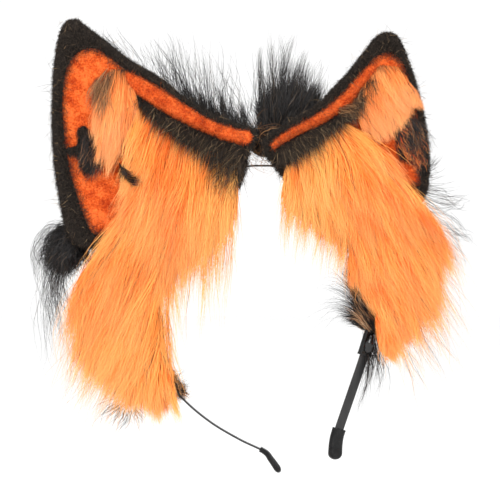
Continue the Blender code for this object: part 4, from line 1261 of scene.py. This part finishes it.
RIGHT_CHEEK_COMB = [
    [(12, 2), (12, -7), (11.5, -17), (11, -26)],
    [(16, 7), (15, -1), (15, -9), (15, -17)],
    [(22, 11), (22, 0), (23, -11), (24, -21)],
    [(28, 16), (32, 2), (35, -14), (37, -31)],
    [(32, 21), (42, 6), (48, -14), (51, -38)],
    [(35, 22), (49, 12), (63, -2), (74, -20)],
    [(38, 21), (53, 12), (67, 2), (79, -10)],
    [(48, 4), (62, -12), (73, -28), (81, -44)],
    [(58, 0), (70, -9), (79, -20), (85, -32)],
    [(68, -8), (80, -22), (89, -33), (95, -42)],
    [(70, -20), (81, -31), (89, -42), (93, -54)],
    [(42, -14), (50, -32), (56, -50), (59, -66)],
    [(42, -40), (43, -48), (44, -55), (44, -61)],
    [(56, -30), (66, -50), (74, -66), (79, -80)],
    [(62, -46), (74, -58), (83, -68), (88, -78)],
    [(57, -56), (61, -69), (66, -82), (70, -93)],
    [(58, -66), (58, -74), (59, -82), (60, -90)],
    [(58, -78), (59, -84), (61, -90), (63, -95)],
    [(66, -56), (73, -69), (79, -81), (83, -92)],
    [(34, -9), (37, -20), (39, -30), (40, -39)],
]
rng = np.random.default_rng(101)
for ear, name, zone, comb, depth in (
    (left_ear, "left", LEFT_CHEEK_ZONE, LEFT_CHEEK_COMB, in_front(left_ear, -0.030, -0.066)),
    (right_ear, "right", RIGHT_CHEEK_ZONE, RIGHT_CHEEK_COMB, in_front(right_ear, -0.014, -0.048)),
):
    # Painted shade and light by layer: the under layer gets the deepest tones for the shade inside the pile,
    # and the upper and tips layers get paler tones for the light on top.
    for part, count, stand, widths, tones, how in (
        ("under", 12500, (-4.0, -0.5), (0.26, 0.50), (0, 5),
         {"lengths": (0.50, 0.86), "clump": 0.35, "waves": 0.8}),
        ("main", 13000, (-9.5, -2.0), (0.19, 0.34), (0, 10),
         {"lengths": (0.50, 0.98), "clump": 0.75, "waves": 1.4, "lock_size": 4.0, "loose": 0.06}),
        ("upper", 11500, (-12.0, -4.5), (0.14, 0.26), (3, 12),
         {"lengths": (0.45, 1.0), "clump": 0.82, "waves": 1.7, "lock_size": 3.4, "loose": 0.07}),
        ("tips", 3200, (-12.5, -1.0), (0.09, 0.15), (6, 13),
         {"lengths": (0.75, 1.25), "short": 1.8, "clump": 0.45, "waves": 1.8, "loose": 0.08, "strays": 0.06}),
    ):
        fur = orange_piece(
            f"{name}_cheek_fur_{part}", zone, comb, count=count, rng=rng, depth=depth, stand=stand,
            widths=widths, tones=tones, finish=orange_fur, paler_steps=5.5, **how,
        )
        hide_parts(f"{name}_cheek_fur")
        over_hinge(fur)

for ear, name, zone, comb, count in (
    (left_ear, "left",
     [(-47, -28), (-38, -16), (-14, -6), (-13, -20), (-22, -34), (-38, -42), (-45, -60), (-44, -94),
      (-50, -94), (-50, -60)],
     [[(-14, -12), (-15, -32), (-15, -52), (-15, -68)], [(-26, -24), (-27, -42), (-28, -60), (-29, -76)],
      [(-38, -34), (-40, -50), (-41, -66), (-42, -80)], [(-47, -52), (-47, -66), (-46, -80), (-44, -94)],
      [(-47, -80), (-46, -94), (-43, -106), (-38, -120)]], 1200),
    (right_ear, "right",
     [(10, 0), (22, -2), (36, -10), (44, -24), (44, -40), (36, -26), (24, -14), (12, -8)],
     [[(12, -2), (11, -16), (10, -30), (9, -44)], [(22, -8), (21, -22), (20, -36), (19, -50)],
      [(32, -16), (32, -30), (31, -42), (30, -54)], [(42, -30), (41, -42), (40, -54), (40, -64)]], 900),
):
    depth = in_front(ear, -0.014, -0.048)
    fur = orange_piece(
        f"{name}_cheek_fur_wisps", zone, comb, count=count, rng=rng, depth=depth, stand=(-9, -1),
        widths=(0.10, 0.19), tones=(9, 13.4), finish=orange_fur, strays=0.05, lengths=(0.25, 1.05),
        short=1.3, clump=0.6, waves=1.4, loose=0.04,
    )
    over_hinge(fur)
for name, zone, comb in (
    ("left", [(-90, -62), (-72, -62), (-52, -84), (-50, -100), (-66, -100), (-84, -84)],
     [[(-88, -64), (-95, -78), (-98, -92), (-99, -106)], [(-76, -74), (-83, -90), (-88, -106), (-92, -120)],
      [(-66, -88), (-71, -102), (-76, -116), (-84, -129)],
      [(-56, -92), (-60, -106), (-64, -120), (-70, -133)],
      [(-52, -96), (-52, -108), (-50, -120), (-44, -133)]]),
    ("right", [(60, -40), (76, -16), (82, -22), (84, -50), (76, -74), (66, -84), (60, -78)],
     [[(78, -20), (88, -24), (97, -34), (102, -46)], [(80, -36), (90, -44), (97, -54), (101, -66)],
      [(78, -56), (86, -70), (92, -82), (96, -94)], [(70, -76), (76, -88), (82, -100), (87, -112)],
      [(62, -78), (65, -90), (69, -102), (74, -116)]]),
):
    fur = orange_piece(
        f"{name}_cheek_fur_dark_tips", zone, comb, count=520, rng=rng, depth=flat_at(-0.006), stand=(-8, 3),
        widths=(0.08, 0.15), tones=(6, 13), finish=orange_fur, strays=0.35, lengths=(0.45, 1.0), clump=0.3,
        waves=2.0, loose=0.16,
    )
    over_hinge(fur)

# ------------------------------------------------------------------ the tufts in the ears
# A lighter tuft is sewn high inside each ear and falls over the felt: on the left nearly
# straight down, on the right outward over the rim. Its roots are brown. Its tips are painted
# pale for light shining through them, and its under layer deeper for the shade inside it.

TUFT_TONES = [(0.0, (0.70, 0.150, 0.028)), (0.35, (0.92, 0.250, 0.052)), (0.86, (1.0, 0.380, 0.105)),
              (0.925, (0.30, 0.13, 0.06)), (1.0, (0.02, 0.015, 0.012))]
# The pale tip colour is painted light, for light shining through the thin tips.
tuft_fur = fibre_finish(
    "light_orange_tuft", TUFT_TONES, tip=(1.0, 0.56, 0.25), tip_from=0.5, root=(0.10, 0.042, 0.018),
    roughness=0.55, tip_share=0.5,
)


def on_felt(ear, before=0.0):
    """The depth of an ear's felt, or a little before it."""

    def depth(places):
        return LINING_FRONT - before - np.minimum(ear.forward(places), EAR_CUP * 1.3)

    return depth


rng = np.random.default_rng(111)
for ear, zone, comb in (
    (left_ear,
     [(-77, 40), (-73, 47), (-66, 47), (-63, 42), (-62, 32), (-65, 22), (-69, 14), (-74, 14), (-75, 24),
      (-76, 32)],
     [[(-76, 40), (-77, 31), (-79, 20), (-80, 9)], [(-70, 46), (-71, 34), (-73, 18), (-75, 3)],
      [(-65, 44), (-64, 33), (-65, 18), (-67, 4)], [(-63, 40), (-61, 33), (-59, 26), (-57, 19)],
      [(-69, 20), (-71, 12), (-73, 5), (-75, 0)], [(-74, 24), (-75, 16), (-77, 8), (-79, 2)]]),
    (right_ear,
     [(49, 40), (52, 46), (57, 49), (65, 48), (69, 44), (71, 36), (66, 30), (58, 25), (50, 26), (48, 33)],
     [[(50, 38), (48, 30), (50, 22), (56, 13)], [(53, 45), (55, 34), (58, 24), (62, 16)],
      [(58, 48), (62, 39), (66, 31), (70, 26)], [(65, 48), (68, 42), (71, 37), (73, 33)],
      [(67, 34), (69, 30), (71, 27), (72, 24)], [(56, 27), (58, 21), (60, 16), (61, 12)]]),
):
    # Painted shade and light by layer: the under layer gets deeper tones and the top layer paler ones.
    for part, count, stand, widths, tones, how in (
        ("under", 5000, (-4.0, -0.6), (0.18, 0.32), (0, 8), {"lengths": (0.5, 0.95), "clump": 0.5}),
        ("top", 4500, (-8.0, -2.0), (0.12, 0.22), (5, 13),
         {"lengths": (0.5, 1.1), "clump": 0.75, "waves": 1.4, "strays": 0.04}),
    ):
        fur = orange_piece(
            f"{ear.name}_inner_tuft_{part}", zone, comb, count=count, rng=rng, depth=on_felt(ear),
            stand=stand, widths=widths, tones=tones, finish=tuft_fur, roots=4, **how,
        )
        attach(fur, "headpiece")
        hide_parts(f"{ear.name}_ear_tuft")

# ------------------------------------------------------------------ single dark hairs in the ears
# Black and brown hairs from the plush marks and folds lie over the felt and the edges of the
# tufts.

for ear, name, finish, zone, comb, count, stand, tones in (
    (left_ear, "left_tuft_root_hairs", stray_brown,
     [(-80, 42), (-74, 47), (-70, 46), (-71, 38), (-76, 30), (-80, 34)],
     [[(-76, 42), (-79, 36), (-79, 28)], [(-72, 44), (-75, 36), (-77, 27)],
      [(-78, 36), (-78, 29), (-81, 22)]], 460, (-6.5, -0.5), (1, 15)),
    (left_ear, "left_outer_mark_hairs", straw_and_black,
     [(-86, 18), (-82, 18), (-76, 14), (-76, 2), (-82, -3), (-86, 4)],
     [[(-84, 16), (-85, 9), (-86, 3)], [(-78, 14), (-79, 8), (-81, 2)], [(-80, 4), (-80, 0), (-82, -5)]],
     520, (-6.5, -0.5), (0, 13)),
    (left_ear, "left_inner_mark_hairs", straw_and_black,
     [(-69, 2), (-67, 1), (-65, -4), (-61, -7), (-63, -9), (-67, -6)],
     [[(-68, 1), (-67, -2), (-66, -6)], [(-64, -6), (-61, -7), (-57, -6)], [(-64, -6), (-61, -4), (-58, 0)],
      [(-65, -7), (-63, -10), (-60, -12)]], 330, (-14, -10), (0, 12)),
    (right_ear, "right_fold_end_hairs", stray_brown,
     [(35, 29), (41, 30), (46, 35), (49, 40), (47, 33), (42, 25), (36, 24)],
     [[(37, 27), (40, 25), (45, 25)], [(43, 31), (46, 28), (49, 27)], [(48, 38), (48, 33), (50, 29)]], 300,
     (-6.5, -0.5), (0, 14)),
    (right_ear, "right_mark_hairs", straw_and_black,
     [(62, 20), (72, 26), (76, 20), (76, 4), (71, 3), (64, 10)],
     [[(64, 18), (68, 13), (71, 7)], [(71, 23), (74, 17), (76, 10)], [(68, 12), (72, 8), (74, 3)],
      [(72, 8), (75, 5), (76, 0)]], 900, (-6.5, -0.5), (0, 13)),
    (right_ear, "right_mark_orange_hairs", orange_fur,
     [(64, 20), (72, 24), (75, 18), (75, 3), (70, 3), (64, 10)],
     [[(65, 17), (68, 12), (71, 8)], [(72, 20), (74, 15), (75, 10)], [(68, 10), (71, 7), (73, 3)],
      [(72, 8), (74, 5), (75, 1)]], 230, (-5.5, -1.5), (0, 9)),
):
    black_piece(
        name, "headpiece", zone, comb, count=count, seed=120, depth=on_felt(ear, 0.0012), stand=stand,
        widths=(0.10, 0.19), finish=finish, darkest=tones[0], palest=tones[1], lengths=(0.4, 1.15),
        clump=0.35, lock_size=2.5, loose=0.22, facing=(0, -1, 0),
    )

# ------------------------------------------------------------------ black hairs in the cheek fur
# A pinch of black hair was caught up where the left fur ends, and a few curl out of the right
# fur's outer edge.

black_piece(
    "left_cheek_fur_black_end", "left_leg",
    [(-68, -110), (-62, -110), (-60, -116), (-64, -120), (-70, -117)],
    [[(-66, -113), (-71, -119), (-80, -124)], [(-64, -114), (-66, -122), (-70, -130)],
     [(-62, -114), (-61, -122), (-58, -130)], [(-67, -112), (-74, -114), (-81, -119)],
     [(-61, -114), (-56, -119), (-51, -125)]], count=130, seed=131, depth=flat_at(-0.006), stand=(-8, 0),
    widths=(0.12, 0.20), finish=straw_and_black, palest=13, lengths=(0.2, 1.1), short=1.4, clump=0.4,
    lock_size=2.5, loose=0.2, waves=1.5, facing=(0, -1, 0),
)
edge_hairs = black_piece(
    "right_cheek_fur_black_edge", None,
    [(80, -10), (86, -12), (90, -24), (94, -36), (92, -44), (86, -38), (82, -24)],
    [[(83, -12), (92, -14), (101, -20)], [(86, -20), (94, -20), (103, -15)],
     [(88, -26), (97, -32), (105, -42)], [(92, -36), (98, -34), (104, -38)],
     [(90, -40), (97, -48), (101, -58)]], count=85, seed=132,
    depth=in_front(right_ear, -0.014, -0.048), stand=(-8, 0), widths=(0.09, 0.16),
    finish=straw_and_black, palest=12, lengths=(0.2, 1.05), short=1.3, clump=0.4, lock_size=3.5, loose=0.2,
    waves=1.5, curl=1.2, facing=(0, -1, 0),
)
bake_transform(edge_hairs)

# ------------------------------------------------------------------ the studio
# A plain white floor, low enough for the legs to open above it, soft light from all round with a
# broad lamp above and to the left, and a level camera with a long lens.

ROOM_FOR_LEGS = 0.022
floor_low = cad_box[0][2] - ROOM_FOR_LEGS
white_floor, tree, shader = new_finish("white_studio_floor", roughness=0.9, specular=0.1)
tree.links.new(
    shaded(tree, drift(tree, 3.0), [(0.3, (0.94, 0.94, 0.94)), (0.7, (0.97, 0.97, 0.97))]),
    shader.inputs["Base Color"],
)
floor = new_piece(
    "studio_floor", [(-4, -4, floor_low), (4, -4, floor_low), (4, 4, floor_low), (-4, 4, floor_low)],
    [(0, 1, 2, 3)], white_floor,
)

world = bpy.data.worlds.new("soft_white_room")
bpy.context.scene.world = world
world.use_nodes = True
world.node_tree.nodes["Background"].inputs["Color"].default_value = (1.0, 1.0, 1.0, 1.0)
world.node_tree.nodes["Background"].inputs["Strength"].default_value = 1.05


def lamp(name, place, aim, size, power):
    """A square soft lamp that the camera doesn't see."""
    light = bpy.data.lights.new(name, "AREA")
    light.shape, light.size, light.energy = "SQUARE", size, power
    holder = bpy.data.objects.new(name, light)
    holder.location = place
    holder.rotation_euler = (Vector(aim) - Vector(place)).to_track_quat("-Z", "Y").to_euler()
    holder.visible_camera = False
    bpy.context.scene.collection.objects.link(holder)


lamp("key_lamp", place=(-0.55, -0.95, 0.75), aim=(0, 0, -0.03), size=0.6, power=11.0)
lamp("fill_lamp", place=(0.75, -0.80, 0.20), aim=(0, 0, -0.03), size=0.6, power=3.5)

CAMERA_AWAY, CAMERA_ACROSS, CAMERA_UP = 1.30, -0.0058, -0.0403
VIEW_WIDTH = 0.240
camera_data = bpy.data.cameras.new("studio_camera")
camera_data.sensor_width = 36.0
camera_data.lens = camera_data.sensor_width * (CAMERA_AWAY - 0.010) / VIEW_WIDTH
camera = bpy.data.objects.new("studio_camera", camera_data)
camera.location = (CAMERA_ACROSS, -CAMERA_AWAY, CAMERA_UP)
camera.rotation_euler = (math.pi / 2, 0, 0)
bpy.context.scene.collection.objects.link(camera)
bpy.context.scene.camera = camera
bpy.context.scene.view_settings.view_transform = "Standard"
